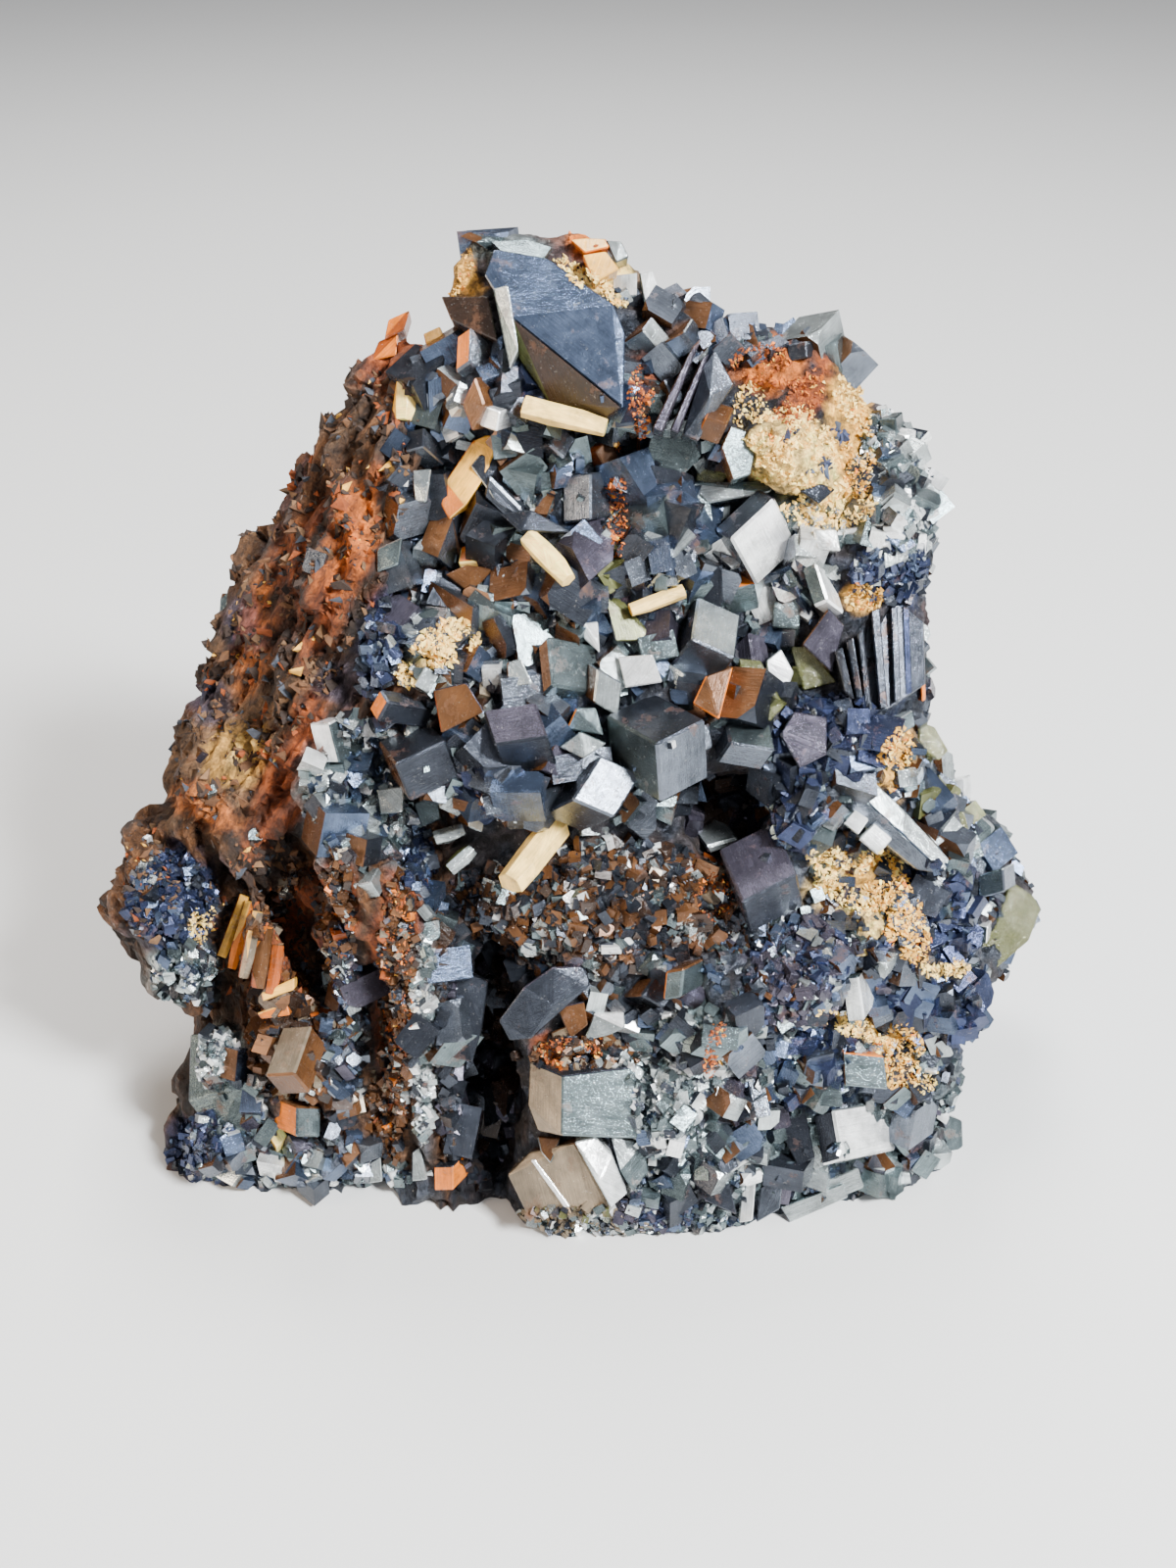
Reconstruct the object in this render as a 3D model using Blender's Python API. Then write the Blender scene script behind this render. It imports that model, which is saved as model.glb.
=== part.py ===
"""A hand-size mineral specimen: blocky arsenopyrite crystals grown over an iron-stained rock.

The rock and every crystal on it grew as one piece, so they are one closed solid. Its outside
is set out on a drawing sheet that leans back with the specimen's front, as seen from above
its front. A place on the sheet is read in millimetres from the sheet's top left corner, x to
the right and y down. The solid stands on a flat cut at z = 0, with its front towards -Y.
"""

import math
import random

import bmesh
import bpy
import numpy as np
from mathutils import Euler, Matrix, Vector, noise
from mathutils.bvhtree import BVHTree

MM = 0.001

# The drawing sheet, in millimetres
SHEET_CENTRE = (60.0, 80.0)
SHEET_MIDDLE = Vector((0.6, -2.6, 41.1))
SHEET_TILT = math.radians(35.0)
EYE_TO_SHEET = 155.6
RIGHT = Vector((1.0, 0.0, 0.0))
UP = Vector((0.0, math.sin(SHEET_TILT), math.cos(SHEET_TILT)))
FORWARD = Vector((0.0, math.cos(SHEET_TILT), -math.sin(SHEET_TILT)))
EYE = SHEET_MIDDLE - FORWARD * EYE_TO_SHEET

# How finely the solid is made, in millimetres
ROCK_VOXEL = 1.5
ROCK_TRIANGLES = 2700
REAR_WALL = 30.6
REAR_LEAN = 0.2
FLOOR_CUT_DEPTH = 40.0
FLOOR_CUT_REACH = 300.0

# How much smaller a rock form, a plate's back and a prism's tip are than their other ends
BOULDER_TAPER = 0.8
SLAB_TAPER = 0.9
PRISM_TAPER = 0.85

# The relief of the rock's skin: how far apart its humps are and how high, in millimetres
BROAD_LUMPS = (8.0, 1.3)
SMALL_LUMPS = (3.6, 0.7)
REAR_HUMPS = (13.0, 3.2)
FLANK_RIBS = (3.2, 2.6)

# The ribs lean over as they go down, and are drawn out along y and most of all along z
RIB_LEAN = 0.45
RIB_PULL = Vector((1.0, 0.5, 0.22))

# The x where the ribs start and the y where the rear humps do, and how far each takes to
# reach its full height
FLANK_EDGE, FLANK_FADE = -14.0, 8.0
REAR_EDGE, REAR_FADE = 6.0, 10.0

# The heart of the rock: its corners as x, y, z in millimetres
ROCK_CORE = (
    (-38, -17, -6), (0, -24, -6), (35, -17, -6), (39, 5, -6), (33, 22, -6), (0, 27, -6),
    (-34, 21, -6), (-41, 5, -6),
    (-43, -4, 32), (-39, 16, 32), (-20, 27, 35), (20, 26, 35), (37, 14, 32), (36, -8, 32),
    (0, -16, 32),
    (-29, 7, 62), (-24, 22, 60), (22, 24, 58), (28, 3, 62), (0, -6, 60),
    (-20, 9, 73), (25, 7, 73), (15, 18, 72), (-12, 18, 76),
    (-8, 8, 87), (3, 9, 87), (-3, 17, 82),
)

# The big forms of the rock. Each is an outline of x, y on the sheet with how far that corner
# stands towards the eye, and how far behind the sheet the form reaches.
BOULDERS = {
    "stained_flank": (-24, (
        (43.5, 31.5, 16), (37.2, 35.6, 12), (33.7, 43.5, 9), (30.2, 48.5, 7), (26.4, 56, 5),
        (24.3, 60, 4), (21.2, 70, 1), (18.0, 78, -2), (16.6, 83, -3), (24, 87, 4),
        (33, 84, 9), (38, 72, 13), (40, 58, 15), (42, 42, 17))),
    "left_lobe": (-20, (
        (11.8, 88.5, -5), (11.3, 93.5, -5), (13.2, 97.2, -4), (17, 101.5, -4), (20.5, 102, -1),
        (22.5, 96, 3), (21, 88, 4), (15, 86, 0), (15.5, 84.3, 0), (20, 84, 3))),
    "left_foot": (-24, (
        (19.0, 105.2, -7), (18.0, 113, -9), (18.8, 124, -11.5), (27.5, 124, -11),
        (27.5, 112, -5), (24, 105.5, -4), (21.5, 104.6, -5))),
    "outer_rib": (-16, (
        (24, 86, 7), (27, 87, 9), (31, 97, 6), (33, 108, 1), (34.5, 123, -10), (31, 124, -11),
        (29.5, 108, -1), (27, 97, 3))),
    "middle_rib": (-16, (
        (33, 83, 12), (36, 85, 12.5), (37.8, 95, 8.5), (36.2, 105, 3.5), (36.6, 123.5, -11),
        (33.6, 123.5, -11), (33.6, 104, 2), (34, 94, 7))),
    "inner_rib": (-16, (
        (38, 87, 12), (42, 89, 13), (45, 95, 10.5), (44.2, 108, 3), (49, 126, -8.6),
        (41, 125, -9.8), (39.4, 108, 1.5), (39, 97, 7))),
    "ledge": (0, (
        (37, 70, 13), (50, 68, 14), (62, 69, 14), (75, 69, 14), (84, 71, 12), (84, 79, 10),
        (72, 82, 11), (62, 84, 11), (52, 82.5, 11), (42, 81, 11))),
    "front_block": (-26, (
        (52.5, 104, 4), (57, 98.5, 7), (64, 97, 7.5), (74, 97, 7.5), (78, 104, 5),
        (80, 120, -4), (76, 128.5, -6.4), (62, 130, -5), (54, 128.5, -5.4), (52.6, 120, -4),
        (53.5, 110, 1))),
    "right_body": (-30, (
        (80, 73, 11), (93, 74, 5), (96, 83, 2), (98.5, 90, 0), (99.3, 100, -3),
        (96.5, 107, -5), (97.5, 116, -9), (95.5, 123, -12.4), (85, 126, -9), (78, 128.5, -7),
        (76, 110, 2), (77, 95, 6), (79, 82, 10))),
    "right_shoulder": (-12, (
        (83, 36.5, 17), (88, 39, 15), (92, 43.5, 13), (94.5, 47.5, 11), (95, 56, 9),
        (94.6, 65, 6), (94.1, 74, 3), (86, 76, 10), (82, 60, 14), (80, 45, 17))),
    "crest": (-5, (
        (64, 31, 20), (70, 31.2, 19), (77, 32.8, 18), (83, 35.3, 16.5), (88, 39, 14),
        (80, 48, 17), (66, 44, 19))),
    "summit": (0, (
        (46.4, 25.0, 18), (55, 25.2, 20), (58, 22.6, 19), (61.4, 22.4, 19), (66, 25.8, 18),
        (69, 29.8, 18),
        (66, 42, 20), (55, 44, 20.5), (46, 42, 19), (45.4, 32, 18), (45.9, 28.4, 17))),
    "right_back": (-26, (
        (94, 75.5, -4), (97, 79, -6), (99.5, 84, -8), (102.5, 88.5, -9), (104, 93, -10),
        (105.6, 91.5, -11), (106, 93.4, -11), (104.6, 96.4, -11), (101, 99.6, -10),
        (98, 101, -10), (92, 96, -4))),
    "stained_step": (-14, (
        (24.6, 59, 3), (26.5, 56.2, 4), (30, 57, 6), (29, 63, 5), (24.6, 62, 2))),
}

# Round masses on those forms: x, y on the sheet, radius across, radius along, lean in degrees
# and how far the mass's middle stands out of the rock
LUMPS = (
    (62.5, 92.5, 13.0, 6.5, 0, -2.5),
    (50.5, 80.3, 3.0, 2.8, 0, 0.6),
    (67.2, 55.8, 2.6, 5.2, 5, 0.0),
    (66.0, 52.0, 2.4, 4.0, 0, 0.0),
    (80.6, 46.6, 4.6, 3.8, 30, 0.0),
    (79.5, 37.6, 4.6, 2.6, -10, 0.0),
    (82.2, 40.4, 1.6, 4.6, 35, 1.2),
    (91.0, 49.0, 4.0, 6.0, -8, 0.0),
    (92.0, 56.8, 3.2, 3.2, 0, 0.0),
    (88.0, 58.2, 3.2, 2.6, 0, 0.4),
    (86.8, 74.4, 4.0, 3.6, 0, 0.4),
    (83.0, 80.6, 3.8, 3.2, 40, 0.0),
    (80.4, 84.5, 2.6, 3.4, 0, 0.0),
    (88.6, 94.8, 4.0, 2.8, 20, 0.4),
    (96.0, 92.4, 2.4, 2.4, 0, 0.4),
    (98.2, 95.6, 2.8, 3.8, 0, 0.0),
    (96.4, 102.8, 4.6, 3.6, 20, 0.2),
    (92.0, 99.4, 3.0, 4.4, 20, 0.0),
    (81.4, 99.6, 5.6, 4.6, -50, 0.2),
    (84.6, 108.6, 4.2, 3.4, 20, 0.0),
    (72.5, 104.5, 4.4, 4.0, 0, 0.6),
    (68.8, 111.0, 3.4, 6.4, 10, 0.0),
    (95.4, 109.4, 2.6, 3.4, 0, 0.0),
    (40.0, 92.0, 2.6, 4.0, 10, 0.0),
    (40.6, 103.0, 2.6, 5.0, 0, 0.4),
    (37.4, 80.0, 3.4, 5.4, 10, 0.4),
    (38.6, 66.0, 1.8, 4.6, 10, 0.0),
    (34.2, 102.0, 1.8, 3.6, 0, 0.6),
    (26.4, 94.4, 1.4, 5.0, 25, 0.4),
    (22.0, 80.5, 3.6, 4.4, 30, 0.4),
    (16.8, 92.4, 4.4, 4.4, 0, 0.0),
    (17.8, 98.8, 3.6, 2.8, 20, 0.0),
    (22.0, 108.4, 2.6, 4.6, 30, 0.6),
    (22.0, 115.8, 4.2, 3.4, 0, 0.0),
    (34.0, 58.0, 1.6, 6.0, 18, 0.8),
    (37.2, 56.6, 1.2, 4.6, 18, 1.0),
    (29.6, 70.0, 1.8, 6.4, 22, 0.6),
    (36.4, 42.0, 2.0, 5.0, 20, 0.6),
    (47.0, 64.4, 4.6, 3.0, 0, 0.0),
)

# Hollows cut into the rock: an outline of x, y on the sheet, with how far towards the eye and
# how far behind the sheet the cut runs
HOLLOWS = {
    "front_vug": (30, -11, (
        (46.8, 95.5), (51.5, 95.5), (53.0, 103), (53.0, 112), (52.4, 119.5), (49.6, 120.5),
        (47.6, 117), (46.2, 108))),
    "ledge_vug": (30, 1, (
        (70.0, 80.5), (74.5, 78.6), (79.0, 79.5), (79.6, 84.5), (76.5, 88.0), (71.0, 88.0))),
    "glassy_vug": (30, 8, (
        (56.2, 55.2), (59.0, 56.0), (61.0, 60.5), (59.0, 62.5), (56.6, 59.0))),
    "outer_groove": (30, -7, (
        (24.0, 87.0), (26.4, 86.6), (32.6, 94.8), (34.4, 103), (32.0, 106.0), (28.8, 97.8))),
    "inner_groove": (30, -6, (
        (36.8, 90.0), (39.2, 91.5), (39.6, 106), (38.2, 118), (36.2, 117), (36.4, 104))),
    "flank_slot": (30, 5, (
        (35.0, 61.5), (36.8, 61.0), (36.4, 67.0), (34.6, 67.5))),
    "left_gap": (30, -8, (
        (22.6, 86.6), (24.4, 88.0), (24.0, 93.0), (22.2, 92.0))),
    "valley": (30, 9, (
        (62.4, 45.5), (65.0, 44.5), (64.2, 52.0), (63.6, 59.0), (61.6, 58.5), (61.8, 52.0))),
}

# Blocky crystals. Each row is how much further than half the block stands out of the rock, the
# corner nearest the eye and the far ends of the three edges that leave it, as x, y on the sheet
BLOCKS = (
    # The ledge across the middle
    (1.6, (67.0, 75.9), (62.1, 72.9), (72.0, 73.4), (67.6, 81.7)),
    (1.2, (55.9, 75.2), (50.6, 76.0), (54.6, 71.6), (57.2, 79.4)),
    (1.4, (58.4, 81.6), (61.2, 77.2), (62.6, 83.4), (55.2, 83.2)),
    (1.2, (79.2, 76.6), (74.6, 75.8), (79.0, 73.6), (78.0, 78.6)),
    (1.6, (75.7, 92.1), (81.2, 89.4), (73.8, 87.0), (77.0, 95.6)),
    (0.0, (72.0, 86.4), (69.9, 83.2), (75.3, 85.5), (72.4, 87.2)),
    (1.2, (40.3, 78.0), (37.9, 75.6), (45.2, 75.6), (41.6, 81.8)),
    (0.0, (39.6, 71.6), (38.3, 73.6), (38.6, 70.2), (44.6, 72.2)),
    (0.0, (48.2, 81.8), (46.8, 81.2), (49.6, 82.4), (47.8, 84.4)),
    (0.8, (61.0, 68.2), (63.5, 69.6), (60.6, 71.6), (60.0, 67.4)),
    (0.8, (55.9, 64.8), (60.7, 65.4), (56.4, 69.8), (54.8, 65.8)),
    # Above the ledge
    (1.4, (70.6, 65.2), (71.5, 60.5), (75.0, 67.0), (68.2, 68.2)),
    (0.0, (76.4, 64.4), (74.9, 65.8), (78.4, 64.8), (76.9, 67.5)),
    (1.4, (79.1, 50.8), (74.8, 54.8), (82.2, 54.8), (77.6, 49.4)),
    (0.0, (77.0, 59.6), (73.7, 60.4), (76.8, 58.0), (77.8, 61.8)),
    (0.0, (78.4, 58.0), (76.9, 58.6), (79.7, 60.2), (77.8, 61.0)),
    (0.0, (83.2, 57.3), (81.9, 57.8), (85.3, 58.4), (84.5, 61.2)),
    (0.0, (72.4, 54.2), (70.4, 54.4), (73.3, 53.4), (72.2, 56.4)),
    (1.0, (74.2, 43.4), (72.0, 42.6), (75.2, 41.0), (73.4, 45.0)),
    (0.0, (50.0, 57.1), (46.7, 57.3), (50.2, 55.2), (50.4, 58.1)),
    (0.0, (49.8, 48.5), (53.2, 51.8), (50.9, 46.0), (49.3, 50.5)),
    (0.0, (60.3, 48.2), (57.4, 48.4), (62.4, 47.4), (60.3, 52.8)),
    (0.0, (48.1, 33.2), (46.5, 33.9), (50.2, 34.6), (47.9, 36.8)),
    (0.0, (43.2, 45.6), (41.2, 45.9), (43.2, 43.4), (45.0, 46.8)),
    (0.0, (42.0, 55.8), (44.5, 56.3), (40.8, 58.8), (42.9, 54.6)),
    (0.0, (67.8, 38.6), (66.0, 40.0), (69.0, 38.0), (68.8, 41.0)),
    (0.0, (65.6, 33.6), (63.6, 34.2), (66.6, 31.9), (67.6, 35.6)),
    (0.0, (69.8, 33.8), (67.8, 34.4), (70.8, 31.9), (71.2, 35.4)),
    (0.0, (56.0, 45.4), (53.2, 45.2), (57.2, 43.2), (57.6, 46.6)),
    (0.0, (60.8, 46.0), (58.8, 45.6), (62.2, 44.6), (61.8, 47.6)),
    (0.0, (48.4, 38.4), (47.0, 40.8), (50.0, 37.4), (49.4, 41.2)),
    (0.0, (51.0, 42.0), (49.2, 41.2), (52.4, 41.0), (50.6, 43.8)),
    (0.0, (43.4, 35.0), (43.0, 33.6), (45.1, 34.2), (44.2, 36.4)),
    # The front block
    (3.4, (57.4, 110.4), (54.4, 108.6), (64.9, 109.5), (57.2, 116.0)),
    (2.6, (58.9, 117.8), (62.1, 123.1), (54.8, 118.6), (62.0, 116.2)),
    (2.0, (54.4, 118.8), (58.0, 123.8), (52.1, 119.8), (55.6, 117.4)),
    (1.0, (69.8, 98.8), (68.0, 99.2), (73.6, 97.8), (69.5, 101.8)),
    (0.0, (65.4, 101.6), (62.4, 102.4), (66.8, 99.8), (67.8, 103.0)),
    # The right side
    (2.0, (85.0, 113.2), (91.6, 113.6), (85.9, 118.3), (83.3, 114.2)),
    (1.2, (87.6, 99.6), (85.9, 99.8), (89.6, 98.0), (88.4, 104.2)),
    (0.0, (98.4, 79.4), (96.6, 79.8), (99.5, 79.0), (98.6, 81.8)),
    (0.0, (97.3, 81.6), (96.5, 81.4), (98.4, 81.0), (97.4, 82.9)),
    (0.0, (100.8, 94.6), (99.8, 94.4), (101.6, 94.0), (100.9, 96.4)),
    (0.0, (96.2, 76.2), (94.2, 77.6), (97.6, 76.8), (96.6, 80.0)),
    (0.0, (96.0, 84.0), (93.2, 84.6), (98.0, 82.8), (97.4, 87.2)),
    (0.6, (102.4, 88.6), (100.2, 89.4), (104.3, 88.2), (102.6, 91.0)),
    (0.6, (103.2, 93.0), (99.8, 95.4), (106.2, 93.0), (102.6, 98.4)),
    (0.0, (91.4, 42.6), (89.8, 42.6), (92.6, 41.4), (91.8, 44.6)),
    (0.0, (82.2, 34.8), (80.4, 35.0), (83.4, 34.2), (82.4, 36.4)),
    (0.0, (92.0, 73.2), (90.4, 73.0), (93.4, 72.4), (92.4, 74.8)),
    # The left side
    (1.0, (30.2, 110.2), (26.9, 110.2), (30.6, 106.8), (31.2, 112.0)),
    (1.0, (30.3, 112.6), (27.4, 112.4), (31.8, 113.2), (30.2, 116.2)),
    (0.8, (48.2, 97.4), (44.6, 96.4), (48.6, 96.4), (47.8, 99.4)),
    (0.0, (33.6, 73.8), (31.3, 73.8), (34.6, 73.0), (34.4, 77.8)),
    (0.0, (36.4, 73.4), (35.0, 73.0), (38.0, 73.4), (37.0, 75.2)),
    (0.0, (37.8, 90.0), (35.8, 90.4), (38.4, 88.6), (38.6, 91.6)),
    (0.0, (34.8, 101.6), (33.0, 101.6), (36.0, 101.0), (35.6, 103.8)),
    (0.0, (46.2, 119.0), (44.2, 119.2), (47.6, 118.0), (46.2, 121.6)),
    (0.0, (28.2, 117.2), (27.2, 115.8), (29.2, 116.0), (28.0, 118.2)),
)

LEAST_SPREAD = 0.06
STEEPEST = 1.5
BLOCK_SHARE_OUT = 0.52

# How far a crystal is from the sheet where there is no rock behind it
OFF_ROCK = -7.0

# Plates, blades and odd facets: how thick each is, and its face as x, y on the sheet with how
# far that corner stands out of the rock
SLABS = (
    # The great face of the summit, its blade and the dark facet below it
    (6.0, ((50.4, 25.4, 2.0), (56.0, 26.4, 2.0), (62.6, 31.0, 2.6), (63.8, 34.0, 2.6),
           (63.6, 41.6, 3.4), (52.0, 32.2, 3.2), (49.4, 28.0, 2.4))),
    (5.0, ((52.2, 32.4, 3.0), (63.4, 41.6, 3.2), (61.0, 43.2, 0.4), (56.0, 41.0, 0.2),
           (53.0, 36.6, 0.4))),
    (3.5, ((50.3, 29.4, 3.6), (51.8, 29.0, 4.2), (52.9, 35.6, 4.2), (52.0, 37.6, 3.6))),
    (4.0, ((45.0, 30.2, 1.0), (49.8, 30.2, 2.4), (50.8, 34.8, 2.4), (46.0, 32.6, 1.6))),
    # The dark blades right of the summit and the crystal beside them
    (6.0, ((70.6, 35.4, 3.4), (71.6, 34.4, 3.4), (67.6, 44.0, 3.4), (66.6, 43.6, 3.4))),
    (6.0, ((71.6, 36.6, 2.6), (72.4, 36.0, 2.6), (69.2, 44.2, 2.6), (68.4, 43.8, 2.6))),
    (5.0, ((73.0, 35.7, 2.6), (74.9, 39.2, 2.0), (72.6, 40.2, 3.4), (71.2, 45.0, 2.4),
           (69.6, 44.4, 2.0), (71.8, 37.2, 2.6))),
    (4.0, ((66.4, 44.4, 2.0), (71.0, 44.8, 2.4), (71.6, 46.4, 2.0), (69.8, 48.4, 1.4),
           (65.6, 47.4, 1.0))),
    (4.0, ((74.6, 43.4, 1.6), (77.4, 44.4, 1.2), (76.6, 48.4, 1.0), (74.8, 49.0, 1.2),
           (73.6, 45.6, 1.6))),
    (3.5, ((70.4, 49.2, 1.4), (79.4, 49.0, 1.6), (78.6, 50.2, 2.0), (72.0, 51.4, 1.4))),
    # Between the summit and the ledge
    (4.0, ((50.0, 44.2, 2.0), (48.2, 45.0, 1.8), (45.5, 49.0, 1.2), (45.0, 51.5, 1.0),
           (45.8, 53.0, 1.6), (47.5, 51.5, 2.4), (49.5, 48.5, 2.8), (50.5, 46.0, 2.6))),
    (4.0, ((48.0, 47.5, 2.2), (49.0, 46.3, 2.2), (51.0, 46.8, 1.8), (53.2, 51.0, 1.8),
           (52.5, 52.5, 2.4), (50.5, 51.0, 2.8))),
    (3.0, ((51.0, 52.4, 1.6), (54.2, 52.0, 2.2), (58.6, 54.4, 1.4), (53.0, 54.2, 2.0))),
    (3.5, ((42.0, 48.0, 1.6), (44.0, 47.8, 2.0), (43.5, 51.2, 1.8), (42.3, 51.2, 1.4))),
    (3.0, ((45.4, 58.6, 1.2), (47.6, 57.6, 1.6), (50.4, 58.0, 1.6), (48.0, 60.6, 1.0))),
    (3.0, ((38.4, 56.0, 0.8), (41.0, 54.8, 1.4), (40.6, 57.6, 1.2), (38.4, 58.4, 0.6))),
    (3.0, ((61.6, 60.8, 1.6), (63.0, 60.6, 0.6), (67.0, 65.4, 1.0), (62.8, 65.4, 1.6))),
    (3.0, ((59.3, 63.6, 2.0), (61.0, 63.4, 2.2), (61.2, 66.6, 2.0), (59.6, 65.2, 1.8))),
    (3.0, ((51.7, 67.6, 1.8), (53.2, 67.2, 2.0), (54.3, 69.8, 2.0), (51.8, 70.2, 1.6))),
    (4.0, ((63.0, 67.0, 1.8), (66.6, 66.8, 2.0), (67.6, 69.6, 1.6), (63.8, 70.2, 1.6))),
    (3.5, ((72.0, 69.0, 1.6), (74.8, 68.0, 1.4), (73.4, 73.4, 2.6), (70.7, 71.8, 2.0))),
    (3.5, ((78.2, 67.4, 2.6), (79.7, 66.2, 2.6), (81.0, 68.6, 2.6), (80.4, 70.2, 2.4),
           (79.2, 71.5, 1.8), (78.4, 69.2, 2.4))),
    (3.0, ((75.4, 67.2, 0.4), (77.6, 67.4, 0.8), (80.0, 72.0, 1.6), (78.6, 73.6, 1.4),
           (76.0, 72.6, 1.6))),
    (3.0, ((80.8, 66.0, 0.8), (82.6, 66.0, 1.2), (85.4, 69.6, 1.0), (82.0, 70.4, 0.8))),
    (3.5, ((84.6, 62.0, 2.2), (86.2, 63.8, 1.6), (84.9, 68.6, 1.4), (81.9, 65.7, 2.0))),
    (3.0, ((79.0, 61.4, 1.8), (81.8, 61.0, 2.0), (81.6, 64.2, 1.6), (78.8, 64.0, 1.4))),
    (3.0, ((83.0, 54.0, 1.6), (85.4, 54.0, 1.6), (85.8, 56.2, 1.6), (83.4, 56.0, 1.4))),
    # On the ledge
    (2.5, ((70.6, 74.9, 2.6), (72.3, 73.7, 2.6), (72.7, 76.2, 3.0), (71.3, 76.9, 3.0))),
    (4.0, ((64.0, 80.2, 2.0), (66.9, 81.8, 2.4), (67.0, 84.6, 2.0), (65.8, 85.8, 1.6),
           (64.0, 84.4, 1.8))),
    (3.0, ((57.0, 76.2, 1.8), (59.2, 74.6, 2.4), (61.9, 75.8, 2.0), (59.6, 77.4, 2.2))),
    (3.0, ((57.8, 74.4, 1.0), (58.8, 72.2, 1.4), (60.8, 72.2, 1.4), (61.6, 75.0, 1.4))),
    (3.0, ((38.4, 80.6, 1.8), (41.2, 80.2, 2.2), (41.0, 82.9, 2.0), (38.8, 83.1, 1.6))),
    (3.0, ((44.2, 70.4, 1.2), (47.6, 69.6, 2.0), (49.4, 72.6, 2.2), (45.0, 74.8, 1.6))),
    (3.5, ((42.2, 82.0, 1.6), (44.6, 81.0, 2.0), (45.0, 83.6, 1.8), (43.0, 84.4, 1.4))),
    # The striated block and the long pale blade on the right
    (6.0, ((87.6, 62.4, 2.8), (92.0, 61.4, 2.4), (94.3, 64.0, 1.4), (94.5, 70.0, 1.4),
           (90.0, 72.8, 2.8), (86.0, 68.6, 3.2))),
    (4.0, ((84.4, 77.8, 2.6), (86.8, 77.3, 2.6), (93.6, 83.4, 2.4), (97.4, 87.9, 1.8),
           (95.6, 89.6, 1.8), (91.5, 86.6, 2.4), (86.4, 82.7, 2.8), (82.8, 79.0, 2.6))),
    (2.5, ((87.6, 85.6, 2.6), (89.2, 84.0, 2.8), (91.1, 85.6, 2.6), (89.6, 87.3, 2.4))),
    (2.5, ((86.0, 84.0, 1.8), (87.2, 82.6, 2.2), (88.7, 83.6, 2.2), (87.6, 85.2, 1.8))),
    (3.5, ((81.0, 72.6, 1.6), (84.4, 73.2, 1.8), (84.4, 77.0, 1.8), (81.6, 78.4, 1.6),
           (79.6, 75.0, 1.6))),
    (3.0, ((81.6, 50.0, 1.2), (83.8, 49.3, 1.4), (85.3, 49.9, 1.2), (83.6, 51.4, 1.0))),
    (3.5, ((86.0, 107.4, 1.2), (90.2, 107.8, 1.6), (90.6, 111.2, 1.8), (86.2, 110.8, 1.4))),
    (3.5, ((79.6, 112.0, 1.4), (82.0, 112.4, 1.8), (83.2, 118.2, 1.6), (81.4, 119.0, 1.2),
           (79.6, 115.4, 1.2))),
    (3.0, ((95.6, 113.4, 0.6), (98.2, 114.4, 0.0), (98.3, 117.0, 0.0), (96.2, 118.8, 0.4))),
    # Along the foot
    (3.0, ((75.8, 120.2, 1.4), (77.2, 119.8, 1.8), (76.8, 124.6, 2.0), (75.4, 124.8, 1.6))),
    (3.0, ((77.6, 121.2, 1.4), (80.0, 119.4, 1.6), (79.6, 123.4, 1.6), (77.2, 124.8, 1.6))),
    (3.0, ((70.8, 120.8, 0.8), (74.4, 120.6, 1.4), (75.2, 124.0, 1.4), (72.0, 122.6, 1.0))),
    (3.0, ((84.2, 120.6, 1.4), (87.6, 119.2, 1.8), (88.2, 121.2, 1.6), (84.8, 122.6, 1.2))),
    (2.5, ((79.6, 123.2, 1.0), (86.0, 120.8, 1.2), (86.6, 122.2, 1.0), (80.6, 124.8, 0.8))),
    (3.0, ((37.8, 118.6, 1.2), (38.8, 118.0, 1.4), (39.0, 120.6, 1.4), (37.6, 120.8, 1.0))),
    (3.0, ((42.0, 117.6, 1.4), (42.8, 117.0, 1.6), (43.6, 120.4, 1.6), (42.0, 120.6, 1.2))),
    # The front block's bent crystal and its neighbours
    (6.0, ((50.9, 104.2, 2.4), (53.4, 100.8, 3.4), (56.4, 98.7, 3.4), (59.8, 98.6, 2.4),
           (60.2, 100.6, 2.4), (56.4, 102.6, 3.0), (54.2, 106.0, 2.4), (52.0, 106.2, 2.0))),
    (3.0, ((60.6, 103.4, 2.4), (63.7, 103.3, 2.6), (63.8, 104.9, 2.8), (62.0, 105.7, 2.6),
           (59.6, 106.2, 2.4))),
    (3.0, ((56.8, 102.8, 1.6), (59.6, 102.2, 2.0), (60.0, 104.6, 2.0), (58.2, 106.0, 1.6))),
    # The dark crystal on the wall of the vug
    (5.0, ((46.6, 98.8, 3.4), (49.8, 100.2, 2.4), (49.2, 105.0, 2.2), (48.2, 108.4, 2.0),
           (44.4, 107.6, 2.6), (44.2, 104.4, 3.0))),
    # The left side
    (4.0, ((19.8, 106.2, 1.6), (22.0, 104.8, 2.0), (24.6, 110.6, 2.4), (22.6, 111.8, 2.8))),
    (2.5, ((26.2, 103.4, 1.4), (29.2, 102.4, 1.8), (29.6, 103.6, 1.8), (26.6, 104.0, 1.4))),
    (2.5, ((26.6, 101.4, 1.4), (30.0, 99.8, 1.6), (30.0, 101.0, 1.8), (26.8, 102.2, 1.4))),
    (3.0, ((39.0, 31.8, 0.4), (42.6, 31.4, 1.2), (41.6, 35.0, 1.0), (37.6, 36.8, 0.4))),
)

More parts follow.
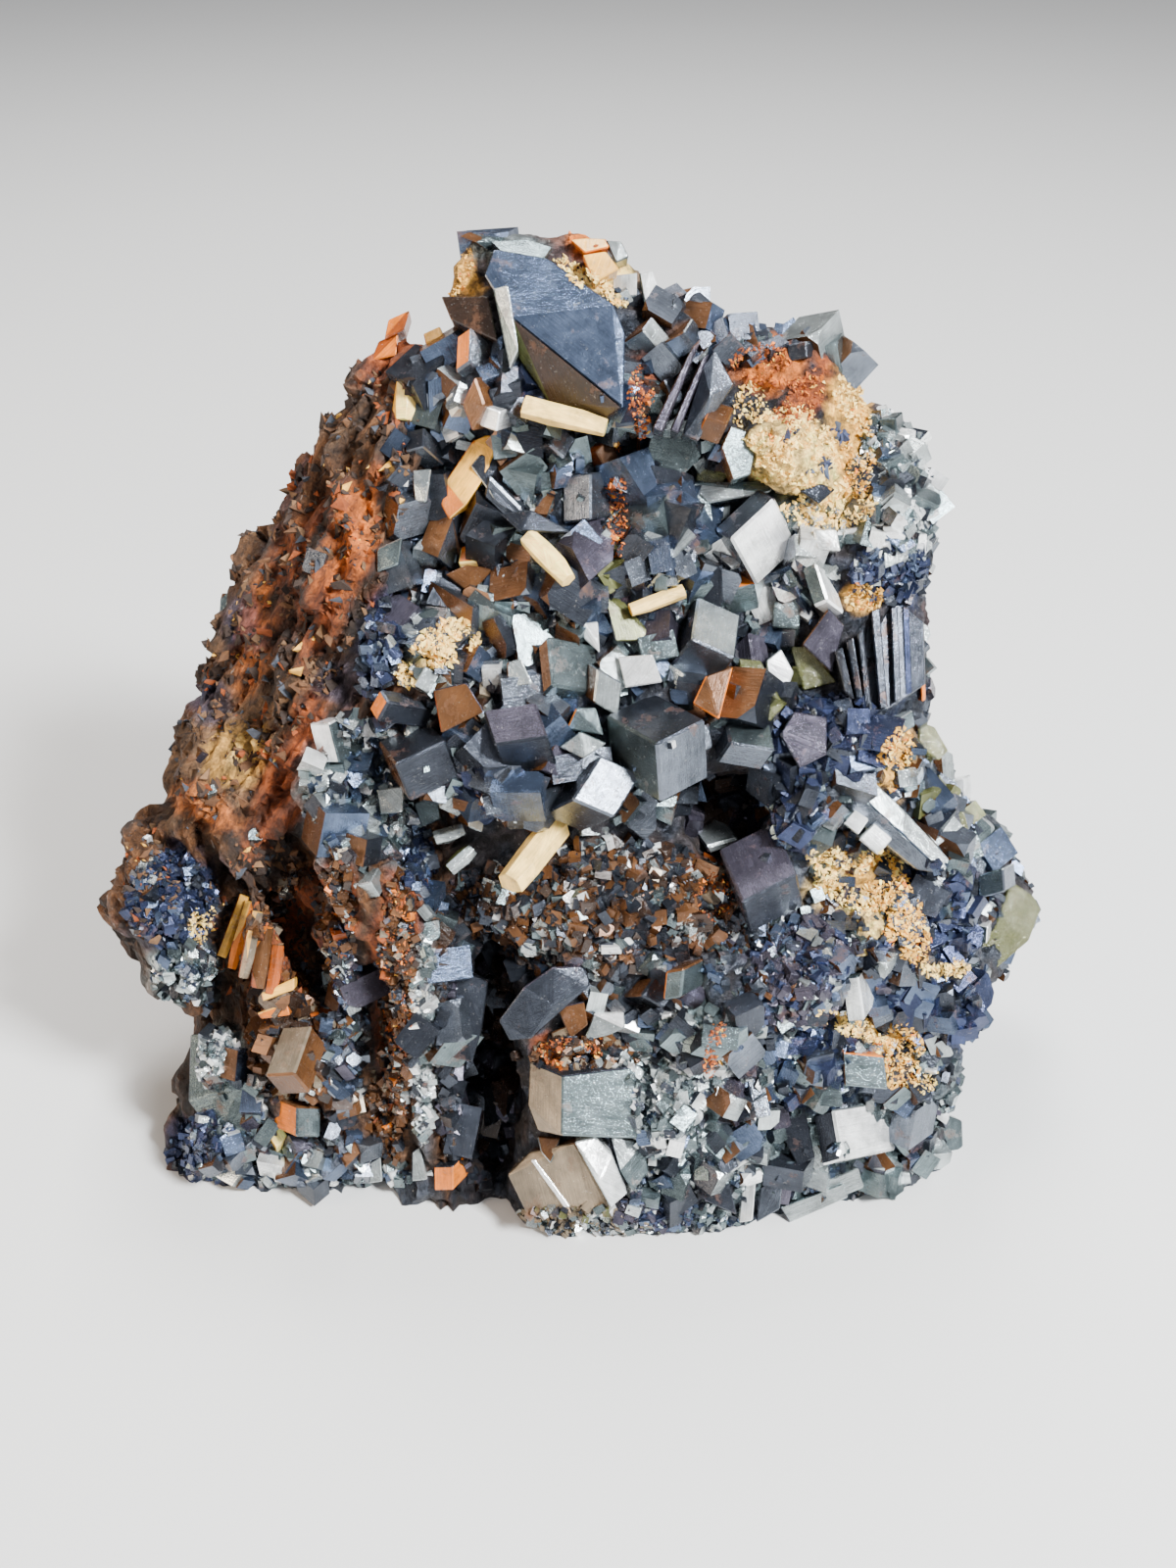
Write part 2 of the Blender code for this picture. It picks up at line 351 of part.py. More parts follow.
# Slender prisms: both ends as x, y on the sheet with how far each stands out of the rock, and
# the prism's width
PRISMS = (
    (3.2, (57.0, 84.4, 0.6), (52.0, 90.2, 5.6)),
    (2.1, (53.4, 41.4, 1.6), (61.8, 43.7, 1.8)),
    (2.1, (53.9, 54.8, 1.6), (58.0, 59.2, 3.4)),
    (1.5, (64.3, 62.3, 1.6), (69.8, 60.3, 1.2)),
    (2.2, (41.6, 39.0, 1.0), (41.2, 43.0, 1.2)),
    (2.8, (25.4, 91.4, 1.8), (23.0, 98.4, 2.4)),
    (3.0, (26.6, 94.6, 0.6), (26.0, 100.0, 0.8)),
    (1.6, (48.2, 86.6, 1.4), (45.8, 88.8, 2.0)),
    (1.6, (44.4, 85.6, 1.4), (47.4, 84.6, 1.4)),
)

# Small crystals scattered between the others: x, y on the sheet, radius of the patch, how
# many, and their smallest and largest width
PATCHES = (
    (60.0, 91.5, 9.0, 8, 1.8, 3.0),
    (46.0, 48.0, 6.0, 3, 2.6, 3.8),
    (52.0, 61.0, 8.0, 5, 2.6, 4.0),
    (73.0, 58.0, 6.0, 3, 2.4, 3.4),
    (45.0, 66.0, 5.0, 3, 2.4, 3.4),
    (41.0, 86.0, 6.0, 3, 2.4, 3.6),
    (37.0, 95.0, 7.0, 3, 2.2, 3.2),
    (33.0, 112.0, 6.0, 4, 2.2, 3.2),
    (84.0, 92.0, 8.0, 3, 2.2, 3.4),
    (90.0, 117.0, 6.0, 3, 2.4, 3.6),
    (70.0, 114.0, 7.0, 3, 2.4, 3.2),
    (78.0, 119.0, 6.0, 3, 2.4, 3.6),
    (98.5, 86.0, 4.5, 3, 2.8, 4.2),
    (63.0, 28.0, 3.0, 4, 2.4, 3.4),
    (76.0, 33.5, 4.0, 3, 2.4, 3.2),
)
PATCH_SEED = 7
PATCH_SIDES = (0.8, 1.3)
PATCH_LIFT = 0.15

# Crystals on the sides that the sheet doesn't show: how many, their widths, how unequal a
# crystal's sides are, the share of its width that it is sunk by beyond half, and the seed
FAR_CRYSTALS = 16
FAR_WIDTHS = (3.0, 6.5)
FAR_SIDES = (0.7, 1.2)
FAR_SUNK = 0.12
FAR_SEED = 21

# They keep to rock above this z, behind this y and within this x of the middle, and to faces
# that look this much away from the eye and no further down than this
FAR_LOWEST = 9.0
FAR_FRONT = 8.0
FAR_REACH = 36.0
FAR_FACING = 0.35
FAR_UNDERSIDE = -0.5

# The solid's finish: linear colour, metallic value and roughness
CRYSTAL_COLOUR = (0.17, 0.185, 0.205, 1.0)
CRYSTAL_METALLIC = 0.75
CRYSTAL_ROUGHNESS = 0.34


def on_sheet(x, y, towards=0.0):
    """The point, in millimetres, seen at x, y on the sheet and standing that far before it."""
    across = (x - SHEET_CENTRE[0]) / EYE_TO_SHEET
    up = (SHEET_CENTRE[1] - y) / EYE_TO_SHEET
    depth = EYE_TO_SHEET - towards
    return EYE + (FORWARD + RIGHT * across + UP * up) * depth


def depth_of(point):
    """How far a point lies from the eye, along the line that looks straight at the sheet."""
    return (point - EYE).dot(FORWARD)


def hull(points):
    """A mesh of the convex hull of the points."""
    shape = bmesh.new()
    corners = [shape.verts.new(point) for point in points]
    made = bmesh.ops.convex_hull(shape, input=corners)
    spare = [e for e in made["geom_interior"] + made["geom_unused"]
             if isinstance(e, bmesh.types.BMVert)]
    bmesh.ops.delete(shape, geom=list(set(spare)), context="VERTS")
    bmesh.ops.recalc_face_normals(shape, faces=shape.faces)
    return shape


def add_hull(target, points):
    """Adds the convex hull of the points to a bmesh."""
    shape = hull(points)
    made = {v: target.verts.new(v.co) for v in shape.verts}
    for face in shape.faces:
        target.faces.new([made[v] for v in face.verts])
    shape.free()


def centre_of(points):
    return sum(points, Vector()) / len(points)


def before_rear(x, y, back):
    """The point seen at x, y on the sheet that lies that far behind it or on the rear wall."""
    line = (on_sheet(x, y) - EYE) / EYE_TO_SHEET
    wall = (REAR_WALL - EYE.y - REAR_LEAN * EYE.z) / (line.y + REAR_LEAN * line.z)
    return on_sheet(x, y, max(back, EYE_TO_SHEET - wall))


def add_boulder(target, back, outline):
    """A rock form: its outline near the eye, and the same outline a little smaller behind."""
    front = [on_sheet(*corner) for corner in outline]
    far = [before_rear(x, y, back) for x, y, _ in outline]
    middle = centre_of(far)
    add_hull(target, front + [middle + (corner - middle) * BOULDER_TAPER for corner in far])


def first_hit(tree, x, y):
    """How far from the eye the rock's surface is at x, y on the sheet."""
    line = (on_sheet(x, y) - EYE).normalized()
    place = tree.ray_cast(EYE, line)[0]
    return None if place is None else depth_of(place)


def add_lump(target, tree, lump):
    """A round mass sunk into the rock's face."""
    x, y, across, along, lean, proud = lump
    depth = first_hit(tree, x, y) - proud
    frame = Matrix((RIGHT, UP, -FORWARD)).transposed().to_4x4()
    shape = Matrix.Diagonal((across, along, min(across, along), 1.0))
    place = Matrix.Translation(on_sheet(x, y, EYE_TO_SHEET - depth))
    turn = Matrix.Rotation(-math.radians(lean), 4, "Z")
    bmesh.ops.create_icosphere(target, subdivisions=2, radius=1.0,
                               matrix=place @ frame @ turn @ shape)


def humps(point, spacing, height):
    """How high the skin is at a point, over humps of that spacing and height."""
    return noise.noise(point / spacing) * height


def share_past(distance, fade):
    """0 up to an edge, 1 once well past it."""
    return min(1.0, max(0.0, distance / fade))


def roughness(point):
    """How far the rock's skin stands out at a point: lumps all over, and ribs on the flank."""
    grain = Vector((point.x + RIB_LEAN * point.z, point.y, point.z)) * RIB_PULL
    flank = share_past(FLANK_EDGE - point.x, FLANK_FADE)
    rear = share_past(point.y - REAR_EDGE, REAR_FADE)
    lumps = humps(point, *BROAD_LUMPS) + humps(point, *SMALL_LUMPS)
    return lumps + flank * humps(grain, *FLANK_RIBS) + rear * humps(point, *REAR_HUMPS)


def mesh_object(name, shape):
    """An object in the scene holding a bmesh, which is freed."""
    mesh = bpy.data.meshes.new(name)
    shape.to_mesh(mesh)
    shape.free()
    made = bpy.data.objects.new(name, mesh)
    bpy.context.scene.collection.objects.link(made)
    return made


def helper(name, shape):
    """A cutter or another shape that the model only uses to work with."""
    made = mesh_object(name, shape)
    made.hide_render = True
    made.display_type = "WIRE"
    return made


def bake(thing):
    """Replaces an object's mesh by what its modifiers make of it."""
    graph = bpy.context.evaluated_depsgraph_get()
    made = bpy.data.meshes.new_from_object(thing.evaluated_get(graph))
    thing.modifiers.clear()
    thing.data = made


def boolean(thing, other, operation):
    """Cuts the other object from a thing, or joins it to it."""
    step = thing.modifiers.new(operation.lower(), "BOOLEAN")
    step.operation = operation
    step.object = other
    step.use_self = operation == "UNION"
    bake(thing)


def remesh(thing):
    """Makes one even skin round everything in the object."""
    step = thing.modifiers.new("skin", "REMESH")
    step.mode = "VOXEL"
    step.voxel_size = ROCK_VOXEL
    bake(thing)


def rows(collection, name):
    """A property of all of a mesh's points, as an array with a row for each."""
    values = np.empty(len(collection) * 3)
    collection.foreach_get(name, values)
    return values.reshape(-1, 3)


def push_out(thing, height):
    """Moves a thing's skin out along its normals, by the height there in millimetres."""
    vertices = thing.data.vertices
    points, normals = rows(vertices, "co"), rows(vertices, "normal")
    heights = np.array([height(Vector(point)) for point in points])
    vertices.foreach_set("co", (points + normals * heights[:, None]).ravel())


def make_rock():
    """The rock without its crystals, in millimetres."""
    forms = bmesh.new()
    add_hull(forms, [Vector(corner) for corner in ROCK_CORE])
    for back, outline in BOULDERS.values():
        add_boulder(forms, back, outline)
    tree = BVHTree.FromBMesh(forms)
    for lump in LUMPS:
        add_lump(forms, tree, lump)
    rock = mesh_object("rock", forms)
    remesh(rock)
    for name, (front, back, outline) in HOLLOWS.items():
        cut = hull([on_sheet(x, y, towards) for x, y in outline for towards in (front, back)])
        boolean(rock, helper(name, cut), "DIFFERENCE")
    remesh(rock)
    push_out(rock, roughness)
    remesh(rock)
    step = rock.modifiers.new("fewer_faces", "DECIMATE")
    step.ratio = ROCK_TRIANGLES / (2 * len(rock.data.polygons))
    bake(rock)
    return rock


def block_corners(tree, lift, near, *ends):
    """The eight corners of a block drawn by its nearest corner and its three edges' ends.

    Square corners fix how far each edge runs away from the eye: the slopes of two edges
    multiply to minus the cosine of the angle between them on the sheet."""
    near = Vector(near)
    edges = [Vector(end) - near for end in ends]
    spread = [max(LEAST_SPREAD, -edges[i].normalized().dot(edges[j].normalized()))
              for i, j in ((1, 2), (0, 2), (0, 1))]
    whole = spread[0] * spread[1] * spread[2]
    slopes = [min(STEEPEST, math.sqrt(whole) / share) for share in spread]
    reach = sum(edge.length * slope for edge, slope in zip(edges, slopes))
    middle = near + sum(edges, Vector((0.0, 0.0))) / 2
    depth = first_hit(tree, *middle) or EYE_TO_SHEET - OFF_ROCK
    scale = depth / EYE_TO_SHEET
    start = on_sheet(*near, EYE_TO_SHEET - depth + BLOCK_SHARE_OUT * reach * scale + lift)
    steps = [(RIGHT * edge.x - UP * edge.y + FORWARD * edge.length * slope) * scale
             for edge, slope in zip(edges, slopes)]
    return [start + steps[0] * i + steps[1] * j + steps[2] * k
            for i in (0, 1) for j in (0, 1) for k in (0, 1)]


def slab_corners(tree, thickness, face):
    """A plate's corners: its face standing out of the rock, and its smaller back inside it."""
    middle = [sum(corner[i] for corner in face) / len(face) for i in (0, 1)]
    depth = first_hit(tree, *middle) or EYE_TO_SHEET - OFF_ROCK
    front = [on_sheet(x, y, EYE_TO_SHEET - depth + proud) for x, y, proud in face]
    inner = centre_of(front) + FORWARD * thickness
    return front + [inner + (corner - centre_of(front)) * SLAB_TAPER for corner in front]


def prism_corners(tree, width, start, end):
    """A six-sided prism between two ends that stand out of the rock."""
    ends = []
    for x, y, proud in (start, end):
        depth = first_hit(tree, x, y)
        ends.append(EYE_TO_SHEET - depth + proud)
    level = max(ends) if start[2] == end[2] else ends[0]
    foot = on_sheet(start[0], start[1], level)
    tip = on_sheet(end[0], end[1], level + end[2] - start[2])
    along = (tip - foot).normalized()
    side = along.cross(FORWARD).normalized()
    other = along.cross(side)
    ring = [side * math.cos(turn) + other * math.sin(turn)
            for turn in (math.radians(60 * i + 15) for i in range(6))]
    radius = width / 2
    return ([foot + spoke * radius for spoke in ring]
            + [tip + spoke * radius * PRISM_TAPER for spoke in ring])


def box_corners(place, turn, sides):
    """The corners of a box of the given sides, turned about its middle."""
    return [place + turn @ Vector((sides[0] * i, sides[1] * j, sides[2] * k))
            for i in (-0.5, 0.5) for j in (-0.5, 0.5) for k in (-0.5, 0.5)]


def any_turn(dice):
    return Euler([dice.uniform(0.0, math.tau) for _ in range(3)]).to_matrix()


def scatter_patches(target, tree):
    """The small crystals between the others."""
    dice = random.Random(PATCH_SEED)
    for x, y, radius, count, least, most in PATCHES:
        for _ in range(count):
            turn, reach = dice.uniform(0, math.tau), radius * math.sqrt(dice.random())
            spot = (x + reach * math.cos(turn), y + reach * math.sin(turn))
            width = dice.uniform(least, most)
            sides = [width * dice.uniform(*PATCH_SIDES) for _ in range(3)]
            facing = any_turn(dice)
            depth = first_hit(tree, *spot)
            if depth is None:
                continue
            place = on_sheet(*spot, EYE_TO_SHEET - depth + PATCH_LIFT * width)
            add_hull(target, box_corners(place, facing, sides))


def scatter_far_side(target, rock):
    """Crystals on the back and the far flanks, sunk by about half into the rock."""
    dice = random.Random(FAR_SEED)
    faces = [f for f in rock.data.polygons
             if f.center.z > FAR_LOWEST and f.center.y > FAR_FRONT
             and abs(f.center.x) < FAR_REACH and f.normal.z > FAR_UNDERSIDE
             and f.normal.dot(FORWARD) > FAR_FACING]
    for face in dice.sample(faces, FAR_CRYSTALS):
        width = dice.uniform(*FAR_WIDTHS)
        sides = [width * dice.uniform(*FAR_SIDES) for _ in range(3)]
        place = face.center - face.normal * width * FAR_SUNK
        add_hull(target, box_corners(place, any_turn(dice), sides))


def make_crystals(rock):
    """Every crystal that stands on the rock, in millimetres, still overlapping each other."""
    tree = BVHTree.FromObject(rock, bpy.context.evaluated_depsgraph_get())
    crystals = bmesh.new()
    for row in BLOCKS:
        add_hull(crystals, block_corners(tree, *row))
    for thickness, face in SLABS:
        add_hull(crystals, slab_corners(tree, thickness, face))
    for width, start, end in PRISMS:
        add_hull(crystals, prism_corners(tree, width, start, end))
    scatter_patches(crystals, tree)
    scatter_far_side(crystals, rock)
    return helper("crystals", crystals)


def floor_cut():
    """What lies below the surface that the specimen stands on."""
    shape = bmesh.new()
    size = Matrix.Diagonal((FLOOR_CUT_REACH, FLOOR_CUT_REACH, FLOOR_CUT_DEPTH, 1.0))
    place = Matrix.Translation((0.0, 0.0, -FLOOR_CUT_DEPTH / 2))
    bmesh.ops.create_cube(shape, size=1.0, matrix=place @ size)
    return helper("below_the_floor", shape)


def keep_largest_shell(thing):
    """Takes off everything that isn't joined to the biggest skin, such as a sealed hollow."""
    shape = bmesh.new()
    shape.from_mesh(thing.data)
    left, shells = set(shape.verts), []
    while left:
        shell, edge = set(), [left.pop()]
        while edge:
            vertex = edge.pop()
            shell.add(vertex)
            near = {e.other_vert(vertex) for e in vertex.link_edges} & left
            left -= near
            edge.extend(near)
        shells.append(shell)
    largest = max(shells, key=len)
    bmesh.ops.delete(shape, geom=[v for v in shape.verts if v not in largest], context="VERTS")
    shape.to_mesh(thing.data)
    shape.free()


def crystal_finish():
    """The steel-grey finish of the mineral."""
    material = bpy.data.materials.new("steel_grey_crystal")
    material.use_nodes = True
    shader = material.node_tree.nodes["Principled BSDF"]
    shader.inputs["Base Color"].default_value = CRYSTAL_COLOUR
    shader.inputs["Metallic"].default_value = CRYSTAL_METALLIC
    shader.inputs["Roughness"].default_value = CRYSTAL_ROUGHNESS
    return material


def main():
    for thing in list(bpy.data.objects):
        bpy.data.objects.remove(thing)
    specimen = make_rock()
    specimen.name = "arsenopyrite_specimen"
    boolean(specimen, make_crystals(specimen), "UNION")
    boolean(specimen, floor_cut(), "DIFFERENCE")
    keep_largest_shell(specimen)
    specimen.data.transform(Matrix.Scale(MM, 4))
    specimen.data.materials.clear()
    specimen.data.materials.append(crystal_finish())


main()
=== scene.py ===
"""The looks of a mineral specimen: blocky arsenopyrite crystals over an iron-stained rock.

Places on the front are read on a drawing sheet that leans back with it, in millimetres from
the sheet's top left corner, x to the right and y down. Everything else is in millimetres in
the specimen's own frame, and the finished meshes are scaled to metres.
"""

import math
import random

import bmesh
import bpy
import numpy as np
from mathutils import Euler, Matrix, Vector, noise
from mathutils.bvhtree import BVHTree


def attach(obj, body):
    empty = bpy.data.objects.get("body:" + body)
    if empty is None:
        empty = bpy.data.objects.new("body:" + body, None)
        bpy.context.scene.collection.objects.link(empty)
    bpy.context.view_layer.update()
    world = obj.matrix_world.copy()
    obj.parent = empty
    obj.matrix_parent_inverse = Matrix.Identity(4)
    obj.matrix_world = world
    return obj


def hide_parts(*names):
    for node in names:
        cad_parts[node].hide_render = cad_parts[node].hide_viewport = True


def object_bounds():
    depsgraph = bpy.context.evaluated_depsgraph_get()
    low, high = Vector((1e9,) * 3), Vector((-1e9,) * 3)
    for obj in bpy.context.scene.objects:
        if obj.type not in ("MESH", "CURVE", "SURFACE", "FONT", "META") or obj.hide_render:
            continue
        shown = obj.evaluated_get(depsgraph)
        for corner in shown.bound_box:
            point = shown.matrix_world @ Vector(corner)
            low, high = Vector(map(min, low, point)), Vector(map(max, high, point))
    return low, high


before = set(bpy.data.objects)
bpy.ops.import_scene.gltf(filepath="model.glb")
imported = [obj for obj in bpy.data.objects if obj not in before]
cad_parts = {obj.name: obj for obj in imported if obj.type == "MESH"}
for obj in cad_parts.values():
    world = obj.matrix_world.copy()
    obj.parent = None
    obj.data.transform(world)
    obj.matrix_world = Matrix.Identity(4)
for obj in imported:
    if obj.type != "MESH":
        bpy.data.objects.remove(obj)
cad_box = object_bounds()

MM = 0.001
SPECIMEN = "arsenopyrite_specimen"

# The drawing sheet, in millimetres
SHEET_CENTRE = (60.0, 80.0)
SHEET_MIDDLE = Vector((0.6, -2.6, 41.1))
SHEET_TILT = math.radians(35.0)
EYE_TO_SHEET = 155.6
RIGHT = Vector((1.0, 0.0, 0.0))
UP = Vector((0.0, math.sin(SHEET_TILT), math.cos(SHEET_TILT)))
FORWARD = Vector((0.0, math.cos(SHEET_TILT), -math.sin(SHEET_TILT)))
EYE = SHEET_MIDDLE - FORWARD * EYE_TO_SHEET

# In how many steps the rock's edge is looked for on the way to the sheet's middle
EDGE_STEPS = 50

# How finely the rock's forms and then its skin are made, in millimetres
FORM_VOXEL = 1.5
SKIN_VOXEL = 0.64

# The wall that the rock's forms end at behind: its y at the floor, and how far it leans
# forward for each millimetre up
REAR_WALL = 30.6
REAR_LEAN = 0.2

# How much smaller a rock form, a plate's back and a prism's tip are than their other ends
BOULDER_TAPER = 0.8
SLAB_TAPER = 0.9
PRISM_TAPER = 0.85

# A prism's sides, how far its first edge is turned in degrees, where its middle rings are
# along it, and how uneven its corners are
PRISM_SIDES = 6
PRISM_TURN = 15
PRISM_RINGS = (0.35, 0.7)
PRISM_SPREAD = (0.78, 1.16)

# The edges' facets: a block's as a share of its diagonal with the widest, and the others' widths
BLOCK_BEVEL, MOST_BEVEL = 0.03, 0.22
SLAB_BEVEL = 0.12
PRISM_BEVEL = 0.05
GLASSY_BEVEL = 0.1

# Faces of a crystal that turn by less than this are one face
FLAT_ANGLE = math.radians(2.0)

# The relief of the rock's skin: how far apart its humps are and how high, in millimetres
BROAD_LUMPS = (8.0, 1.3)
SMALL_LUMPS = (3.6, 0.7)
REAR_HUMPS = (13.0, 3.2)
FLANK_RIBS = (3.2, 2.6)
COARSE_GRAINS = (1.5, 0.34)
FINE_GRAINS = (0.75, 0.20)

# The flank's slabs and ridges as spacing and height, and how far down they are set
FLAT_SLABS = (1.3, 1.3)
RIDGED_SLABS = (2.6, 1.6)
SLAB_DROP = 0.5

# The flank's cracks: how far apart, how deep and how wide
CRACK_SPACING, CRACK_DEPTH, CRACK_WIDTH = 2.9, 1.4, 0.09

# The front's small blocks: how they are turned, how wide they are and how much they stand out
CHIP_TURN = Euler((0.5, 0.4, 0.7)).to_matrix()
CHIP_SPACING, CHIP_RISE = 2.1, 0.4

# Steps to one side, so that two patterns read from the same noise differ
ASIDE = Vector((9.0, 0.0, 0.0))
OTHER_ASIDE = Vector((0.0, 7.0, 0.0))

# The ribs lean over as they go down, and are drawn out along y and most of all along z
RIB_LEAN = 0.45
RIB_PULL = Vector((1.0, 0.5, 0.22))

# The x where the ribs start and the y where the rear humps do, and how far each takes to
# reach its full height
FLANK_EDGE, FLANK_FADE = -14.0, 8.0
REAR_EDGE, REAR_FADE = 6.0, 10.0

# The x where the flank's own grain and colours start, and how far they take to be full
GRAIN_EDGE, GRAIN_FADE = FLANK_EDGE + 3.0, 3.0

# The crystals on the back and the right side: how many places are tried, how strongly the
# widths lean to the small ones, the widths within so far of the middle and beyond, how uneven
# the sides are and how low they start
FAR_TRIES = 3400
FAR_BIAS = 3
REAR_SIDES = 26.0
FAR_WIDTHS = (0.8, 4.2)
SIDE_WIDTHS = (0.7, 1.9)
FAR_SPREAD = (0.7, 1.3)
LEAST_FAR_HEIGHT = 3.0

# Their clusters: how wide they are and how much of the surface they leave bare
FAR_CLUSTER = 8.0
FAR_CUT = 0.06

# How far a face has to look away from the eye to be on the back, and how far away and to the
# right to be on the right side
BACK_AWAY = 0.5
SIDE_AWAY, SIDE_RIGHT = -0.2, 0.55

# The flank's grooves on the sheet: where they bend, and how far they run to the right for
# each millimetre down, above the first bend and between the two. Along them the rock's grain
# is drawn out by so much, down the sheet and away from the eye.
GROOVE_BENDS = (85.0, 100.0)
GROOVE_SLOPES = (-0.51, 0.50)
GRAIN_PULL = Vector((1.0, 0.26, 0.5))

# The heart of the rock: its corners as x, y, z in millimetres
ROCK_CORE = (
    (-38, -17, -6), (0, -24, -6), (35, -17, -6), (39, 5, -6), (33, 22, -6), (0, 27, -6),
    (-34, 21, -6), (-41, 5, -6),
    (-43, -4, 32), (-39, 16, 32), (-20, 27, 35), (20, 26, 35), (37, 14, 32), (36, -8, 32),
    (0, -16, 32),
    (-29, 7, 62), (-24, 22, 60), (22, 24, 58), (28, 3, 62), (0, -6, 60),
    (-20, 9, 73), (25, 7, 73), (15, 18, 72), (-12, 18, 76),
    (-8, 8, 87), (3, 9, 87), (-3, 17, 82),
)

# The big forms of the rock. Each is an outline of x, y on the sheet with how far that corner
# stands towards the eye, and how far behind the sheet the form reaches.
BOULDERS = {
    "stained_flank": (-24, (43.5, 31.5, 16), (37.2, 35.6, 12), (33.7, 43.5, 9), (30.2, 48.5, 7),
        (26.4, 56, 5), (24.3, 60, 4), (21.2, 70, 1), (18, 78, -2), (16.6, 83, -3), (24, 87, 4),
        (33, 84, 9), (38, 72, 13), (40, 58, 15), (42, 42, 17)),
    "left_lobe": (-20, (11.8, 88.5, -5), (11.3, 93.5, -5), (13.2, 97.2, -4), (17, 101.5, -4),
        (20.5, 102, -1), (22.5, 96, 3), (21, 88, 4), (15, 86, 0), (15.5, 84.3, 0), (20, 84, 3)),
    "left_foot": (-24, (19, 105.2, -7), (18, 113, -9), (18.8, 124, -11.5), (27.5, 124, -11),
        (27.5, 112, -5), (24, 105.5, -4), (21.5, 104.6, -5)),
    "outer_rib": (-16, (24, 86, 7), (27, 87, 9), (31, 97, 6), (33, 108, 1), (34.5, 123, -10),
        (31, 124, -11), (29.5, 108, -1), (27, 97, 3)),
    "middle_rib": (-16, (33, 83, 12), (36, 85, 12.5), (37.8, 95, 8.5), (36.2, 105, 3.5),
        (36.6, 123.5, -11), (33.6, 123.5, -11), (33.6, 104, 2), (34, 94, 7)),
    "inner_rib": (-16, (38, 87, 12), (42, 89, 13), (45, 95, 10.5), (44.2, 108, 3), (49, 126, -8.6),
        (41, 125, -9.8), (39.4, 108, 1.5), (39, 97, 7)),
    "ledge": (0, (37, 70, 13), (50, 68, 14), (62, 69, 14), (75, 69, 14), (84, 71, 12), (84, 79, 10),
        (72, 82, 11), (62, 84, 11), (52, 82.5, 11), (42, 81, 11)),
    "front_block": (-26, (52.5, 104, 4), (57, 98.5, 7), (64, 97, 7.5), (74, 97, 7.5), (78, 104, 5),
        (80, 120, -4), (76, 128.5, -6.4), (62, 130, -5), (54, 128.5, -5.4), (52.6, 120, -4),
        (53.5, 110, 1)),
    "right_body": (-30, (80, 73, 11), (93, 74, 5), (96, 83, 2), (98.5, 90, 0), (99.3, 100, -3),
        (96.5, 107, -5), (97.5, 116, -9), (95.5, 123, -12.4), (85, 126, -9), (78, 128.5, -7),
        (76, 110, 2), (77, 95, 6), (79, 82, 10)),
    "right_shoulder": (-12, (83, 36.5, 17), (88, 39, 15), (92, 43.5, 13), (94.5, 47.5, 11), (95, 56, 9),
        (94.6, 65, 6), (94.1, 74, 3), (86, 76, 10), (82, 60, 14), (80, 45, 17)),
    "crest": (-5, (64, 31, 20), (70, 31.2, 19), (77, 32.8, 18), (83, 35.3, 16.5), (88, 39, 14),
        (80, 48, 17), (66, 44, 19)),
    "summit": (0, (46.4, 25, 18), (55, 25.2, 20), (58, 22.6, 19), (61.4, 22.4, 19), (66, 25.8, 18),
        (69, 29.8, 18), (66, 42, 20), (55, 44, 20.5), (46, 42, 19), (45.4, 32, 18), (45.9, 28.4, 17)),
    "right_back": (-26, (94, 75.5, -4), (97, 79, -6), (99.5, 84, -8), (102.5, 88.5, -9), (104, 93, -10),
        (105.6, 91.5, -11), (106, 93.4, -11), (104.6, 96.4, -11), (101, 99.6, -10), (98, 101, -10),
        (92, 96, -4)),
    "stained_step": (-14, (24.6, 59, 3), (26.5, 56.2, 4), (30, 57, 6), (29, 63, 5), (24.6, 62, 2)),
}

